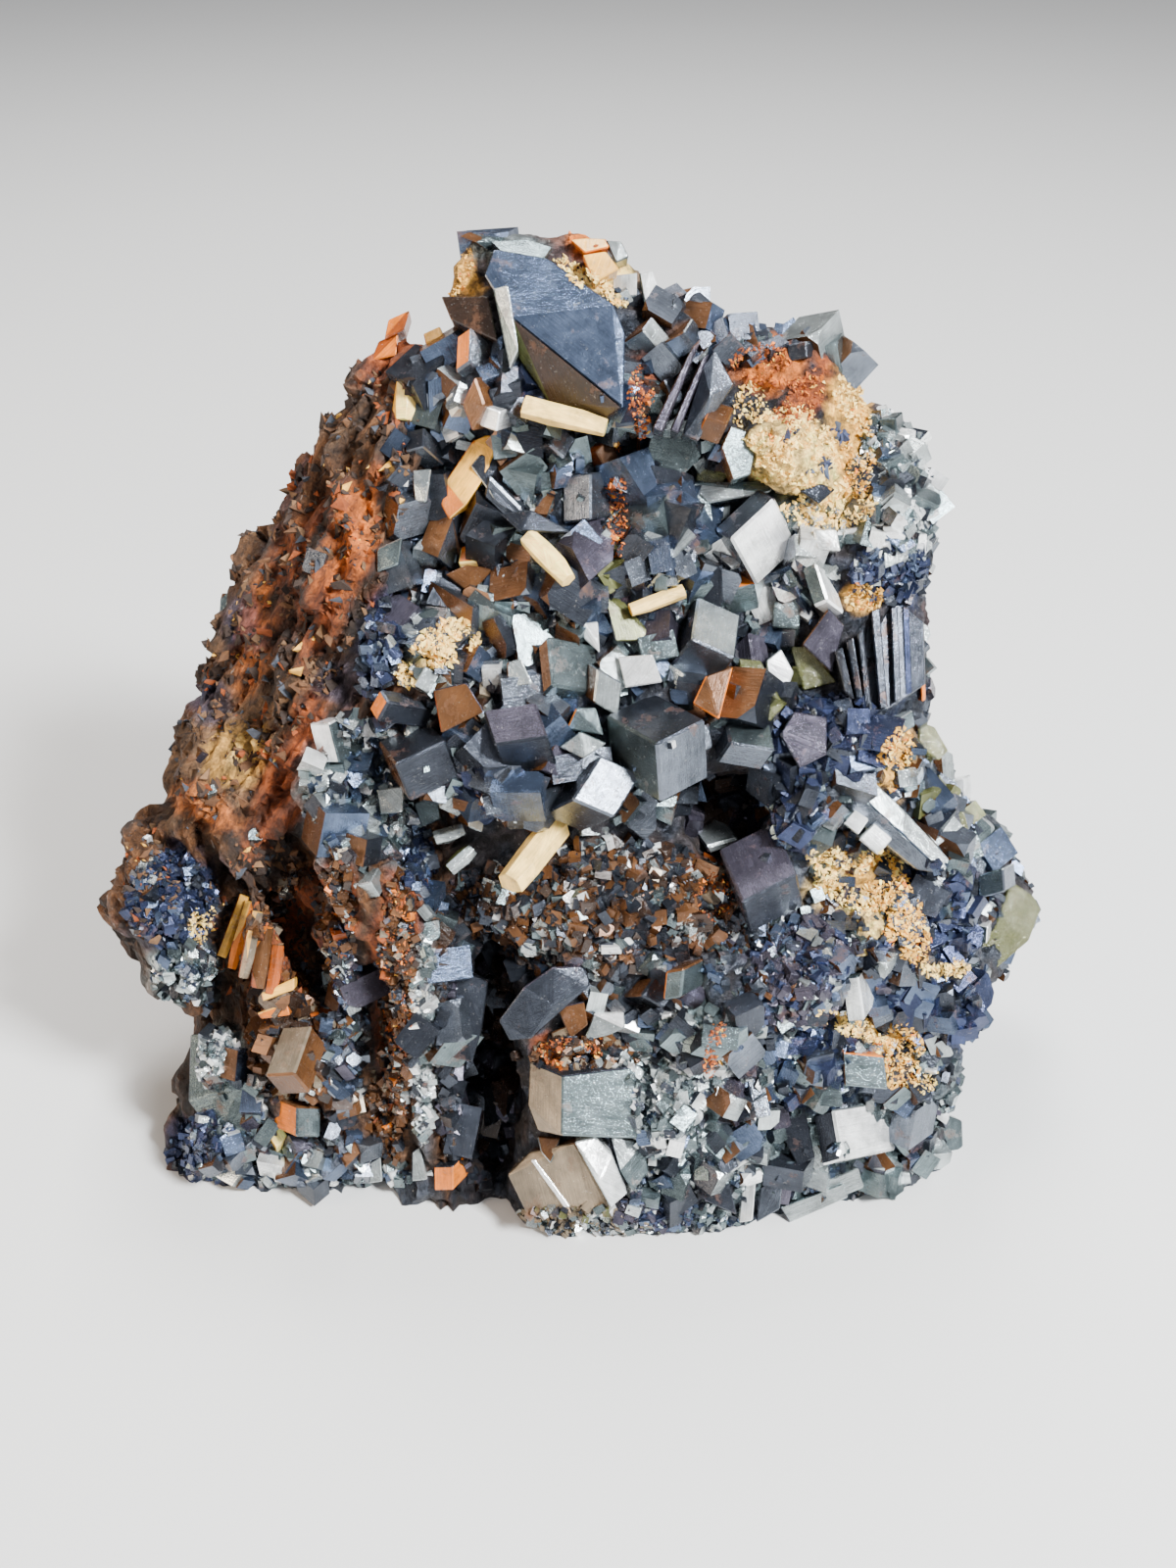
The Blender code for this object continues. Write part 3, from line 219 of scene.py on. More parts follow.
# Round masses on those forms: x, y on the sheet, radius across, radius along, lean in degrees
# and how far the mass's middle stands out of the rock
LUMPS = (
    (62.5, 92.5, 13, 6.5, 0, -2.5),
    (50.5, 80.3, 3, 2.8, 0, 0.6),
    (67.2, 55.8, 2.6, 5.2, 5, 0),
    (66, 52, 2.4, 4, 0, 0),
    (80.6, 46.6, 4.6, 3.8, 30, 0),
    (79.5, 37.6, 4.6, 2.6, -10, 0),
    (82.2, 40.4, 1.6, 4.6, 35, 1.2),
    (91, 49, 4, 6, -8, 0),
    (92, 56.8, 3.2, 3.2, 0, 0),
    (88, 58.2, 3.2, 2.6, 0, 0.4),
    (86.8, 74.4, 4, 3.6, 0, 0.4),
    (83, 80.6, 3.8, 3.2, 40, 0),
    (80.4, 84.5, 2.6, 3.4, 0, 0),
    (88.6, 94.8, 4, 2.8, 20, 0.4),
    (96, 92.4, 2.4, 2.4, 0, 0.4),
    (98.2, 95.6, 2.8, 3.8, 0, 0),
    (96.4, 102.8, 4.6, 3.6, 20, 0.2),
    (92, 99.4, 3, 4.4, 20, 0),
    (81.4, 99.6, 5.6, 4.6, -50, 0.2),
    (84.6, 108.6, 4.2, 3.4, 20, 0),
    (72.5, 104.5, 4.4, 4, 0, 0.6),
    (68.8, 111, 3.4, 6.4, 10, 0),
    (95.4, 109.4, 2.6, 3.4, 0, 0),
    (40, 92, 2.6, 4, 10, 0),
    (40.6, 103, 2.6, 5, 0, 0.4),
    (37.4, 80, 3.4, 5.4, 10, 0.4),
    (38.6, 66, 1.8, 4.6, 10, 0),
    (34.2, 102, 1.8, 3.6, 0, 0.6),
    (26.4, 94.4, 1.4, 5, 25, 0.4),
    (22, 80.5, 3.6, 4.4, 30, 0.4),
    (16.8, 92.4, 4.4, 4.4, 0, 0),
    (17.8, 98.8, 3.6, 2.8, 20, 0),
    (22, 108.4, 2.6, 4.6, 30, 0.6),
    (22, 115.8, 4.2, 3.4, 0, 0),
    (34, 58, 1.6, 6, 18, 0.8),
    (37.2, 56.6, 1.2, 4.6, 18, 1),
    (29.6, 70, 1.8, 6.4, 22, 0.6),
    (36.4, 42, 2, 5, 20, 0.6),
    (47, 64.4, 4.6, 3, 0, 0),
)

# Hollows cut into the rock: an outline of x, y on the sheet, with how far towards the eye and
# how far behind the sheet the cut runs
HOLLOWS = {
    "front_vug": (30, -11, (46.8, 95.5), (51.5, 95.5), (53, 103), (53, 112), (52.4, 119.5),
        (49.6, 120.5), (47.6, 117), (46.2, 108)),
    "ledge_vug": (30, 1, (70, 80.5), (74.5, 78.6), (79, 79.5), (79.6, 84.5), (76.5, 88), (71, 88)),
    "glassy_vug": (30, 8, (56.2, 55.2), (59, 56), (61, 60.5), (59, 62.5), (56.6, 59)),
    "outer_groove": (30, -7, (24, 87), (26.4, 86.6), (32.6, 94.8), (34.4, 103), (32, 106),
        (28.8, 97.8)),
    "inner_groove": (30, -6, (36.8, 90), (39.2, 91.5), (39.6, 106), (38.2, 118), (36.2, 117),
        (36.4, 104)),
    "flank_slot": (30, 5, (35, 61.5), (36.8, 61), (36.4, 67), (34.6, 67.5)),
    "left_gap": (30, -8, (22.6, 86.6), (24.4, 88), (24, 93), (22.2, 92)),
    "valley": (30, 9, (62.4, 45.5), (65, 44.5), (64.2, 52), (63.6, 59), (61.6, 58.5), (61.8, 52)),
}

# Colours: linear red, green and blue, and how metallic
COLOURS = {
    "steel": (0.125, 0.142, 0.172, 0.88),
    "blue": (0.080, 0.108, 0.170, 0.85),
    "slate": (0.042, 0.048, 0.062, 0.80),
    "violet": (0.064, 0.058, 0.080, 0.70),
    "indigo": (0.032, 0.042, 0.090, 0.75),
    "teal": (0.140, 0.178, 0.186, 0.88),
    # Lighter faces that stand in part for glare: partly a painted highlight.
    "pale": (0.400, 0.440, 0.440, 0.80),
    # Near white for faces in glare: a painted highlight over the crystals' own steel-grey.
    "silver": (0.900, 0.920, 0.900, 0.70),
    "brown": (0.105, 0.044, 0.016, 0.40),
    "rust": (0.240, 0.050, 0.007, 0.05),
    "orange": (0.600, 0.150, 0.012, 0.05),
    "ochre": (0.720, 0.370, 0.060, 0.00),
    "cream": (0.960, 0.640, 0.200, 0.00),
    "olive": (0.080, 0.084, 0.026, 0.30),
    "tan": (0.200, 0.155, 0.105, 0.45),
    "umber": (0.026, 0.014, 0.009, 0.10),
    "earth": (0.130, 0.066, 0.028, 0.00),
}

# Blocky crystals. Each row is the colours of the block's faces in general, of those that look
# left and of those that look up, how much further than half the block stands out of the rock,
# the corner nearest the eye and the far ends of the three edges that leave it. The colour of the
# faces that look left is mostly painted warm light from the left, with some iron film, and silver
# faces are painted glare.
BLOCKS = (
    # The ledge across the middle
    ("steel teal slate", 1.6, (67, 75.9), (62.1, 72.9), (72, 73.4), (67.6, 81.7)),
    ("slate slate violet", 1.2, (55.9, 75.2), (50.6, 76), (54.6, 71.6), (57.2, 79.4)),
    ("steel slate steel", 1.4, (58.4, 81.6), (61.2, 77.2), (62.6, 83.4), (55.2, 83.2)),
    ("steel steel teal", 1.2, (79.2, 76.6), (74.6, 75.8), (79, 73.6), (78, 78.6)),
    ("slate violet violet", 1.6, (75.7, 92.1), (81.2, 89.4), (73.8, 87), (77, 95.6)),
    ("pale slate pale", 0, (72, 86.4), (69.9, 83.2), (75.3, 85.5), (72.4, 87.2)),
    ("slate brown slate", 1.2, (40.3, 78), (37.9, 75.6), (45.2, 75.6), (41.6, 81.8)),
    ("slate orange steel", 0, (39.6, 71.6), (38.3, 73.6), (38.6, 70.2), (44.6, 72.2)),
    ("pale brown pale", 0, (48.2, 81.8), (46.8, 81.2), (49.6, 82.4), (47.8, 84.4)),
    ("pale brown steel", 0.8, (61, 68.2), (63.5, 69.6), (60.6, 71.6), (60, 67.4)),
    ("teal brown teal", 0.8, (55.9, 64.8), (60.7, 65.4), (56.4, 69.8), (54.8, 65.8)),
    # Above the ledge
    ("steel slate pale", 1.4, (70.6, 65.2), (71.5, 60.5), (75, 67), (68.2, 68.2)),
    ("violet violet slate", 0, (76.4, 64.4), (74.9, 65.8), (78.4, 64.8), (76.9, 67.5)),
    ("silver steel violet", 1.4, (79.1, 50.8), (74.8, 54.8), (82.2, 54.8), (77.6, 49.4)),
    ("teal teal orange", 0, (77, 59.6), (73.7, 60.4), (76.8, 58), (77.8, 61.8)),
    ("silver silver silver", 0, (78.4, 58), (76.9, 58.6), (79.7, 60.2), (77.8, 61)),
    ("silver teal teal", 0, (83.2, 57.3), (81.9, 57.8), (85.3, 58.4), (84.5, 61.2)),
    ("teal teal teal", 0, (72.4, 54.2), (70.4, 54.4), (73.3, 53.4), (72.2, 56.4)),
    ("brown orange brown", 1, (74.2, 43.4), (72, 42.6), (75.2, 41), (73.4, 45)),
    ("cream cream orange", 0, (50, 57.1), (46.7, 57.3), (50.2, 55.2), (50.4, 58.1)),
    ("steel slate steel", 0, (49.8, 48.5), (53.2, 51.8), (50.9, 46), (49.3, 50.5)),
    ("steel slate steel", 0, (60.3, 48.2), (57.4, 48.4), (62.4, 47.4), (60.3, 52.8)),
    ("steel orange steel", 0, (48.1, 33.2), (46.5, 33.9), (50.2, 34.6), (47.9, 36.8)),
    ("steel orange slate", 0, (43.2, 45.6), (41.2, 45.9), (43.2, 43.4), (45, 46.8)),
    ("pale teal pale", 0, (42, 55.8), (44.5, 56.3), (40.8, 58.8), (42.9, 54.6)),
    ("steel brown violet", 0, (67.8, 38.6), (66, 40), (69, 38), (68.8, 41)),
    ("pale brown steel", 0, (65.6, 33.6), (63.6, 34.2), (66.6, 31.9), (67.6, 35.6)),
    ("steel brown pale", 0, (69.8, 33.8), (67.8, 34.4), (70.8, 31.9), (71.2, 35.4)),
    ("steel slate steel", 0, (56, 45.4), (53.2, 45.2), (57.2, 43.2), (57.6, 46.6)),
    ("brown rust brown", 0, (60.8, 46), (58.8, 45.6), (62.2, 44.6), (61.8, 47.6)),
    ("brown rust brown", 0, (48.4, 38.4), (47, 40.8), (50, 37.4), (49.4, 41.2)),
    ("silver silver silver", 0, (51, 42), (49.2, 41.2), (52.4, 41), (50.6, 43.8)),
    ("ochre orange ochre", 0, (43.4, 35), (43, 33.6), (45.1, 34.2), (44.2, 36.4)),
    # The front block
    ("teal orange brown", 1, (69.8, 98.8), (68, 99.2), (73.6, 97.8), (69.5, 101.8)),
    ("slate brown slate", 0, (65.4, 101.6), (62.4, 102.4), (66.8, 99.8), (67.8, 103)),
    # The right side
    ("silver slate pale", 2, (85, 113.2), (91.6, 113.6), (85.9, 118.3), (83.3, 114.2)),
    ("silver violet teal", 1.2, (87.6, 99.6), (85.9, 99.8), (89.6, 98), (88.4, 104.2)),
    ("silver silver silver", 0, (98.4, 79.4), (96.6, 79.8), (99.5, 79), (98.6, 81.8)),
    ("silver teal silver", 0, (97.3, 81.6), (96.5, 81.4), (98.4, 81), (97.4, 82.9)),
    ("silver teal silver", 0, (100.8, 94.6), (99.8, 94.4), (101.6, 94), (100.9, 96.4)),
    ("pale brown pale", 0, (96.2, 76.2), (94.2, 77.6), (97.6, 76.8), (96.6, 80)),
    ("steel teal pale", 0.6, (102.4, 88.6), (100.2, 89.4), (104.3, 88.2), (102.6, 91)),
    ("teal slate teal", 0, (91.4, 42.6), (89.8, 42.6), (92.6, 41.4), (91.8, 44.6)),
    ("slate slate slate", 0, (82.2, 34.8), (80.4, 35), (83.4, 34.2), (82.4, 36.4)),
    ("teal teal pale", 0, (92, 73.2), (90.4, 73), (93.4, 72.4), (92.4, 74.8)),
    # The left side
    ("brown tan tan", 2.6, (30, 109.6), (26.8, 110), (31, 105.4), (31.2, 112)),
    ("teal orange brown", 1.8, (30.3, 112.9), (27.4, 112.6), (32.4, 113.4), (30.2, 116)),
    ("slate slate teal", 0.8, (48.2, 97.4), (44.6, 96.4), (48.6, 96.4), (47.8, 99.4)),
    ("teal silver silver", 0, (33.6, 73.8), (31.3, 73.8), (34.6, 73), (34.4, 77.8)),
    ("silver silver teal", 0, (36.4, 73.4), (35, 73), (38, 73.4), (37, 75.2)),
    ("pale steel pale", 0, (37.8, 90), (35.8, 90.4), (38.4, 88.6), (38.6, 91.6)),
    ("pale indigo pale", 0, (34.8, 101.6), (33, 101.6), (36, 101), (35.6, 103.8)),
    ("orange rust slate", 0, (46.2, 119), (44.2, 119.2), (47.6, 118), (46.2, 121.6)),
    ("cream ochre cream", 0, (28.2, 117.2), (27.2, 115.8), (29.2, 116), (28, 118.2)),
)

# A block's edges: how far from square their drawn angles may come, how steeply they may run
# away from the eye, and the share of the block that stands out of the rock
LEAST_SPREAD = 0.06
STEEPEST = 1.5
BLOCK_SHARE_OUT = 0.52

# Plates, blades and odd facets: colours as above, how thick each is, and its face as x, y on
# the sheet with how far that corner stands out of the rock
SLABS = (
    # The great face of the summit, its blade and the dark facet below it
    ("blue steel blue", 6, (50.4, 25.4, 2), (56, 26.4, 2), (62.6, 31, 2.6), (63.8, 34, 2.6),
        (63.6, 41.6, 3.4), (52, 32.2, 3.2), (49.4, 28, 2.4)),
    ("umber olive umber", 5, (52.2, 32.4, 3), (63.4, 41.6, 3.2), (61, 43.2, 0.4), (56, 41, 0.2),
        (53, 36.6, 0.4)),
    ("pale teal pale", 3.5, (50.3, 29.4, 3.6), (51.8, 29, 4.2), (52.9, 35.6, 4.2), (52, 37.6, 3.6)),
    ("umber brown umber", 4, (45, 30.2, 1), (49.8, 30.2, 2.4), (50.8, 34.8, 2.4), (46, 32.6, 1.6)),
    # The crest behind it
    ("orange orange ochre", 3, (58.2, 24, 1.6), (59.8, 23, 1.6), (61.8, 23.4, 1.6), (62.2, 25.2, 1.8),
        (59.6, 25.8, 2)),
    ("ochre orange ochre", 3, (59.4, 26, 2.2), (61.8, 25.6, 2.2), (63.2, 27.4, 2.4), (60.6, 28.8, 2.6)),
    ("teal slate pale", 3, (61.8, 24.4, 1.8), (63.4, 24.6, 1.8), (64.2, 26.2, 1.8), (62.8, 26.8, 2.2)),
    ("teal slate teal", 3, (50, 24.6, 0.8), (53.6, 24.2, 0.8), (56.4, 25.2, 1), (55.6, 26.4, 2.2),
        (51, 25.6, 2)),
    ("pale teal silver", 3, (65.2, 27.8, 1.6), (66.6, 27.6, 1.6), (67.6, 30.4, 2), (65.8, 31, 2.2)),
    # The dark blades right of the summit and the crystal beside them
    ("violet umber violet", 6, (70.6, 35.4, 3.4), (71.6, 34.4, 3.4), (67.6, 44, 3.4),
        (66.6, 43.6, 3.4)),
    ("violet umber violet", 6, (71.6, 36.6, 2.6), (72.4, 36, 2.6), (69.2, 44.2, 2.6),
        (68.4, 43.8, 2.6)),
    ("steel slate steel", 5, (73, 35.7, 2.6), (74.9, 39.2, 2), (72.6, 40.2, 3.4), (71.2, 45, 2.4),
        (69.6, 44.4, 2), (71.8, 37.2, 2.6)),
    ("teal slate pale", 4, (66.4, 44.4, 2), (71, 44.8, 2.4), (71.6, 46.4, 2), (69.8, 48.4, 1.4),
        (65.6, 47.4, 1)),
    ("teal brown teal", 4, (74.6, 43.4, 1.6), (77.4, 44.4, 1.2), (76.6, 48.4, 1), (74.8, 49, 1.2),
        (73.6, 45.6, 1.6)),
    ("pale olive teal", 3.5, (70.4, 49.2, 1.4), (79.4, 49, 1.6), (78.6, 50.2, 2), (72, 51.4, 1.4)),
    # Between the summit and the ledge
    ("ochre orange ochre", 4, (50, 44.2, 2), (48.2, 45, 1.8), (45.5, 49, 1.2), (45, 51.5, 1),
        (45.8, 53, 1.6), (47.5, 51.5, 2.4), (49.5, 48.5, 2.8), (50.5, 46, 2.6)),
    ("steel pale slate", 4, (48, 47.5, 2.2), (49, 46.3, 2.2), (51, 46.8, 1.8), (53.2, 51, 1.8),
        (52.5, 52.5, 2.4), (50.5, 51, 2.8)),
    ("slate slate steel", 3, (51, 52.4, 1.6), (54.2, 52, 2.2), (58.6, 54.4, 1.4), (53, 54.2, 2)),
    ("pale brown pale", 3.5, (42, 48, 1.6), (44, 47.8, 2), (43.5, 51.2, 1.8), (42.3, 51.2, 1.4)),
    ("brown brown brown", 3, (45.4, 58.6, 1.2), (47.6, 57.6, 1.6), (50.4, 58, 1.6), (48, 60.6, 1)),
    ("teal brown pale", 3, (38.4, 56, 0.8), (41, 54.8, 1.4), (40.6, 57.6, 1.2), (38.4, 58.4, 0.6)),
    ("olive slate olive", 3, (61.6, 60.8, 1.6), (63, 60.6, 0.6), (67, 65.4, 1), (62.8, 65.4, 1.6)),
    ("silver silver silver", 3, (59.3, 63.6, 2), (61, 63.4, 2.2), (61.2, 66.6, 2), (59.6, 65.2, 1.8)),
    ("pale brown pale", 3, (51.7, 67.6, 1.8), (53.2, 67.2, 2), (54.3, 69.8, 2), (51.8, 70.2, 1.6)),
    ("silver pale silver", 4, (63, 67, 1.8), (66.6, 66.8, 2), (67.6, 69.6, 1.6), (63.8, 70.2, 1.6)),
    ("orange orange brown", 3.5, (72, 69, 1.6), (74.8, 68, 1.4), (73.4, 73.4, 2.6), (70.7, 71.8, 2)),
    ("silver pale silver", 3.5, (78.2, 67.4, 2.6), (79.7, 66.2, 2.6), (81, 68.6, 2.6),
        (80.4, 70.2, 2.4), (79.2, 71.5, 1.8), (78.4, 69.2, 2.4)),
    ("violet brown slate", 3.5, (84.6, 62, 2.2), (86.2, 63.8, 1.6), (84.9, 68.6, 1.4), (81.9, 65.7, 2)),
    ("teal teal pale", 3, (79, 61.4, 1.8), (81.8, 61, 2), (81.6, 64.2, 1.6), (78.8, 64, 1.4)),
    ("silver silver silver", 3, (83, 54, 1.6), (85.4, 54, 1.6), (85.8, 56.2, 1.6), (83.4, 56, 1.4)),
    # On the ledge
    ("steel steel steel", 2.5, (70.6, 74.9, 2.6), (72.3, 73.7, 2.6), (72.7, 76.2, 3), (71.3, 76.9, 3)),
    ("steel slate steel", 4, (64, 80.2, 2), (66.9, 81.8, 2.4), (67, 84.6, 2), (65.8, 85.8, 1.6),
        (64, 84.4, 1.8)),
    ("pale teal teal", 3, (57, 76.2, 1.8), (59.2, 74.6, 2.4), (61.9, 75.8, 2), (59.6, 77.4, 2.2)),
    ("teal orange teal", 3, (57.8, 74.4, 1), (58.8, 72.2, 1.4), (60.8, 72.2, 1.4), (61.6, 75, 1.4)),
    ("pale teal pale", 3, (38.4, 80.6, 1.8), (41.2, 80.2, 2.2), (41, 82.9, 2), (38.8, 83.1, 1.6)),
    ("brown rust violet", 3, (44.2, 70.4, 1.2), (47.6, 69.6, 2), (49.4, 72.6, 2.2), (45, 74.8, 1.6)),
    ("teal slate teal", 3.5, (42.2, 82, 1.6), (44.6, 81, 2), (45, 83.6, 1.8), (43, 84.4, 1.4)),
    # The striated block and the long pale blade on the right
    ("slate slate blue", 6, (86.5, 64, 2.6), (88.5, 62.4, 2.4), (92, 61.6, 1.8), (94.3, 63.5, 0.8),
        (94.5, 69.8, 0.8), (92.5, 71.2, 1.8), (90, 72.8, 2.4), (88.6, 72, 2.8)),
    ("slate slate steel", 5, (90.9, 62, 2.6), (91.6, 61.8, 2.5), (92, 71.3, 2.5), (91.3, 71.8, 2.7)),
    ("indigo slate steel", 5, (92.1, 61.8, 2.4), (92.8, 62.1, 2.1), (93.1, 70.7, 2), (92.4, 71.1, 2.3)),
    ("slate slate steel", 5, (93.3, 62.5, 1.8), (94, 63.3, 1.3), (94.3, 69.8, 1.2), (93.6, 70.4, 1.7)),
    ("slate slate steel", 5, (88.9, 62.3, 2.9), (89.8, 62, 2.8), (90.6, 72.2, 2.9), (89.8, 72.4, 3)),
    ("slate slate steel", 5, (85.2, 66.4, 2.6), (86, 66, 2.8), (87.2, 71.4, 3.2), (86.2, 70.6, 3)),
    ("slate slate steel", 5, (86.4, 65.4, 2.8), (87.1, 65, 3), (88.2, 72, 3.4), (87.4, 71.6, 3.2)),
    ("slate slate steel", 5, (87.5, 64.6, 3), (88.1, 64.2, 3.1), (89, 72.4, 3.4), (88.3, 72.2, 3.3)),
    ("orange rust orange", 2, (93.9, 68.4, 1.5), (94.4, 68.2, 1.2), (94.5, 71.4, 1.2),
        (94.1, 71.6, 1.5)),
    ("steel pale teal", 4, (83.3, 78.9, 2.6), (84.6, 78.2, 3.4), (92.2, 85.2, 3.4), (96.4, 89.2, 2.8),
        (93.6, 88.8, 2.4), (87.2, 83.6, 2.6)),
    ("blue steel pale", 4, (84.6, 78.2, 3.4), (86.4, 77.1, 2.4), (88.6, 79.6, 2.6), (92.4, 82.8, 2.4),
        (96.9, 87.7, 2.2), (96.4, 89.2, 2.8), (92.2, 85.2, 3.4)),
    ("silver pale silver", 2.5, (87.6, 85.6, 3.4), (89.2, 84, 3.6), (91.1, 85.6, 3.4),
        (89.6, 87.3, 3.2)),
    ("silver pale silver", 2.5, (86, 84, 2.6), (87.2, 82.6, 3), (88.7, 83.6, 3), (87.6, 85.2, 2.6)),
    ("violet slate violet", 3.5, (81, 72.6, 1.6), (84.4, 73.2, 1.8), (84.4, 77, 1.8), (81.6, 78.4, 1.6),
        (79.6, 75, 1.6)),
    ("slate slate slate", 3, (81.6, 50, 1.2), (83.8, 49.3, 1.4), (85.3, 49.9, 1.2), (83.6, 51.4, 1)),
    ("teal brown orange", 3.5, (86, 107.4, 1.2), (90.2, 107.8, 1.6), (90.6, 111.2, 1.8),
        (86.2, 110.8, 1.4)),
    ("slate slate pale", 3.5, (79.6, 112, 1.4), (82, 112.4, 1.8), (83.2, 118.2, 1.6), (81.4, 119, 1.2),
        (79.6, 115.4, 1.2)),
    ("teal olive teal", 3, (95.6, 113.4, 0.6), (98.2, 114.4, 0), (98.3, 117, 0), (96.2, 118.8, 0.4)),
    # Along the foot
    ("silver pale silver", 3, (75.8, 120.2, 1.4), (77.2, 119.8, 1.8), (76.8, 124.6, 2),
        (75.4, 124.8, 1.6)),
    ("steel slate steel", 3, (77.6, 121.2, 1.4), (80, 119.4, 1.6), (79.6, 123.4, 1.6),
        (77.2, 124.8, 1.6)),
    ("slate violet teal", 3, (70.8, 120.8, 0.8), (74.4, 120.6, 1.4), (75.2, 124, 1.4), (72, 122.6, 1)),
    ("pale teal pale", 3, (84.2, 120.6, 1.4), (87.6, 119.2, 1.8), (88.2, 121.2, 1.6),
        (84.8, 122.6, 1.2)),
    ("pale slate teal", 2.5, (79.6, 123.2, 1), (86, 120.8, 1.2), (86.6, 122.2, 1), (80.6, 124.8, 0.8)),
    ("pale slate pale", 3, (37.8, 118.6, 1.2), (38.8, 118, 1.4), (39, 120.6, 1.4), (37.6, 120.8, 1)),
    ("pale slate pale", 3, (42, 117.6, 1.4), (42.8, 117, 1.6), (43.6, 120.4, 1.6), (42, 120.6, 1.2)),
    # The front block's crystals
    ("teal tan slate", 7, (54.1, 108.4, 1.8), (57.4, 109.8, 4.6), (64.7, 108.9, 3.8),
        (65.4, 112.8, 3.6), (65, 116.2, 3.8), (57.3, 115.9, 4.6), (54.9, 115.4, 2), (53.9, 112.8, 1.8)),
    ("silver pale silver", 6, (58.6, 116.6, 4.6), (60.8, 116, 4.2), (62.4, 117.9, 3.8),
        (64, 121.8, 3.2), (62.3, 123.3, 4.3), (61.2, 120.4, 4.8), (59.4, 117.6, 4.9)),
    ("tan tan brown", 6, (51.8, 119.9, 0.4), (54.1, 117.6, 1.4), (58.6, 116.6, 4.8), (60.8, 116, 4.2),
        (62.4, 117.9, 3.8), (64, 121.8, 3.2), (62.1, 123.4, 4.6), (60.6, 124.4, 3.8), (53.8, 124, 0.4)),
    ("silver silver silver", 3, (54.1, 118.4, 2.4), (54.6, 118.3, 2.7), (58.2, 123.2, 3.5),
        (57.6, 123.3, 3.3)),
    ("teal pale brown", 4, (54.8, 116, 1.6), (57.2, 116.2, 2.6), (56.2, 118.8, 3.2),
        (55.2, 117.6, 2.4)),
    ("teal slate pale", 5, (62.2, 115.9, 1.6), (65.6, 116.6, 1.4), (66.2, 119.6, 1.2),
        (64.6, 121.6, 1.8), (63.2, 119.4, 2.4)),
    ("tan brown tan", 3, (56.2, 105.4, 1.6), (58, 104.6, 2.2), (59.2, 106.8, 2.4), (57, 107.6, 2)),
    ("slate slate violet", 6, (50.9, 104.2, 2.4), (53.4, 100.8, 3.4), (56.4, 98.7, 3.4),
        (59.8, 98.6, 2.4), (60.2, 100.6, 2.4), (56.4, 102.6, 3), (54.2, 106, 2.4), (52, 106.2, 2)),
    ("pale teal silver", 3, (60.6, 103.4, 2.4), (63.7, 103.3, 2.6), (63.8, 104.9, 2.8),
        (62, 105.7, 2.6), (59.6, 106.2, 2.4)),
    ("brown brown violet", 3, (56.8, 102.8, 1.6), (59.6, 102.2, 2), (60, 104.6, 2), (58.2, 106, 1.6)),
    # The dark crystal on the wall of the vug
    ("slate slate slate", 5, (46.6, 98.8, 3.4), (49.8, 100.2, 2.4), (49.2, 105, 2.2), (48.2, 108.4, 2),
        (44.4, 107.6, 2.6), (44.2, 104.4, 3)),
    # The left side
    ("teal slate pale", 5, (19.4, 105.6, 0.8), (22.4, 105.2, 1.8), (24.8, 110.6, 2.6),
        (26.4, 115.2, 2.2), (25.4, 117.4, 1.4), (22, 116.2, 1.2), (19.2, 112.4, 0.6)),
    ("orange rust ochre", 2.5, (26.2, 103.4, 1.4), (29.2, 102.4, 1.8), (29.6, 103.6, 1.8),
        (26.6, 104, 1.4)),
    ("ochre orange ochre", 2.5, (26.6, 101.4, 1.4), (30, 99.8, 1.6), (30, 101, 1.8),
        (26.8, 102.2, 1.4)),
    ("rust orange brown", 3, (39.6, 32.6, 0.2), (41.8, 31.6, 1.2), (41.2, 33.6, 1), (39.2, 34.6, 0.4)),
    ("orange rust rust", 3, (38.6, 34.8, 0), (40.6, 33.9, 0.9), (40.4, 36.2, 0.8), (37.8, 36.8, 0.2)),
)

# Slender prisms: colours, the prism's width, and both ends as x, y on the sheet with how far
# each stands out of the rock
PRISMS = (
    ("cream cream cream", 3.2, (57, 84.4, 0.6), (52, 90.2, 5.6)),
    ("cream ochre cream", 2.1, (53.4, 41.4, 1.6), (61.8, 43.7, 1.8)),
    ("cream cream cream", 2.1, (53.9, 54.8, 1.6), (58, 59.2, 3.4)),
    ("cream ochre cream", 1.5, (64.3, 62.3, 1.6), (69.8, 60.3, 1.2)),
    ("cream ochre cream", 2.2, (41.6, 39, 1), (41.2, 43, 1.2)),
    ("ochre rust ochre", 1.2, (25, 91.4, 1.8), (22.6, 97.6, 2.2)),
    ("orange rust ochre", 1.4, (25.6, 92, 2.2), (23.6, 98.8, 2.6)),
    ("tan rust ochre", 1.3, (26.2, 93, 1.6), (24.8, 99.8, 2)),
    ("brown rust orange", 1.6, (27.2, 94.6, 1), (26.2, 100.8, 1.2)),
    ("rust umber brown", 1.4, (28.4, 96.4, 0.6), (27.6, 101.4, 0.8)),
    ("pale olive pale", 1.6, (48.2, 86.6, 1.4), (45.8, 88.8, 2)),
    ("pale olive pale", 1.6, (44.4, 85.6, 1.4), (47.4, 84.6, 1.4)),
)

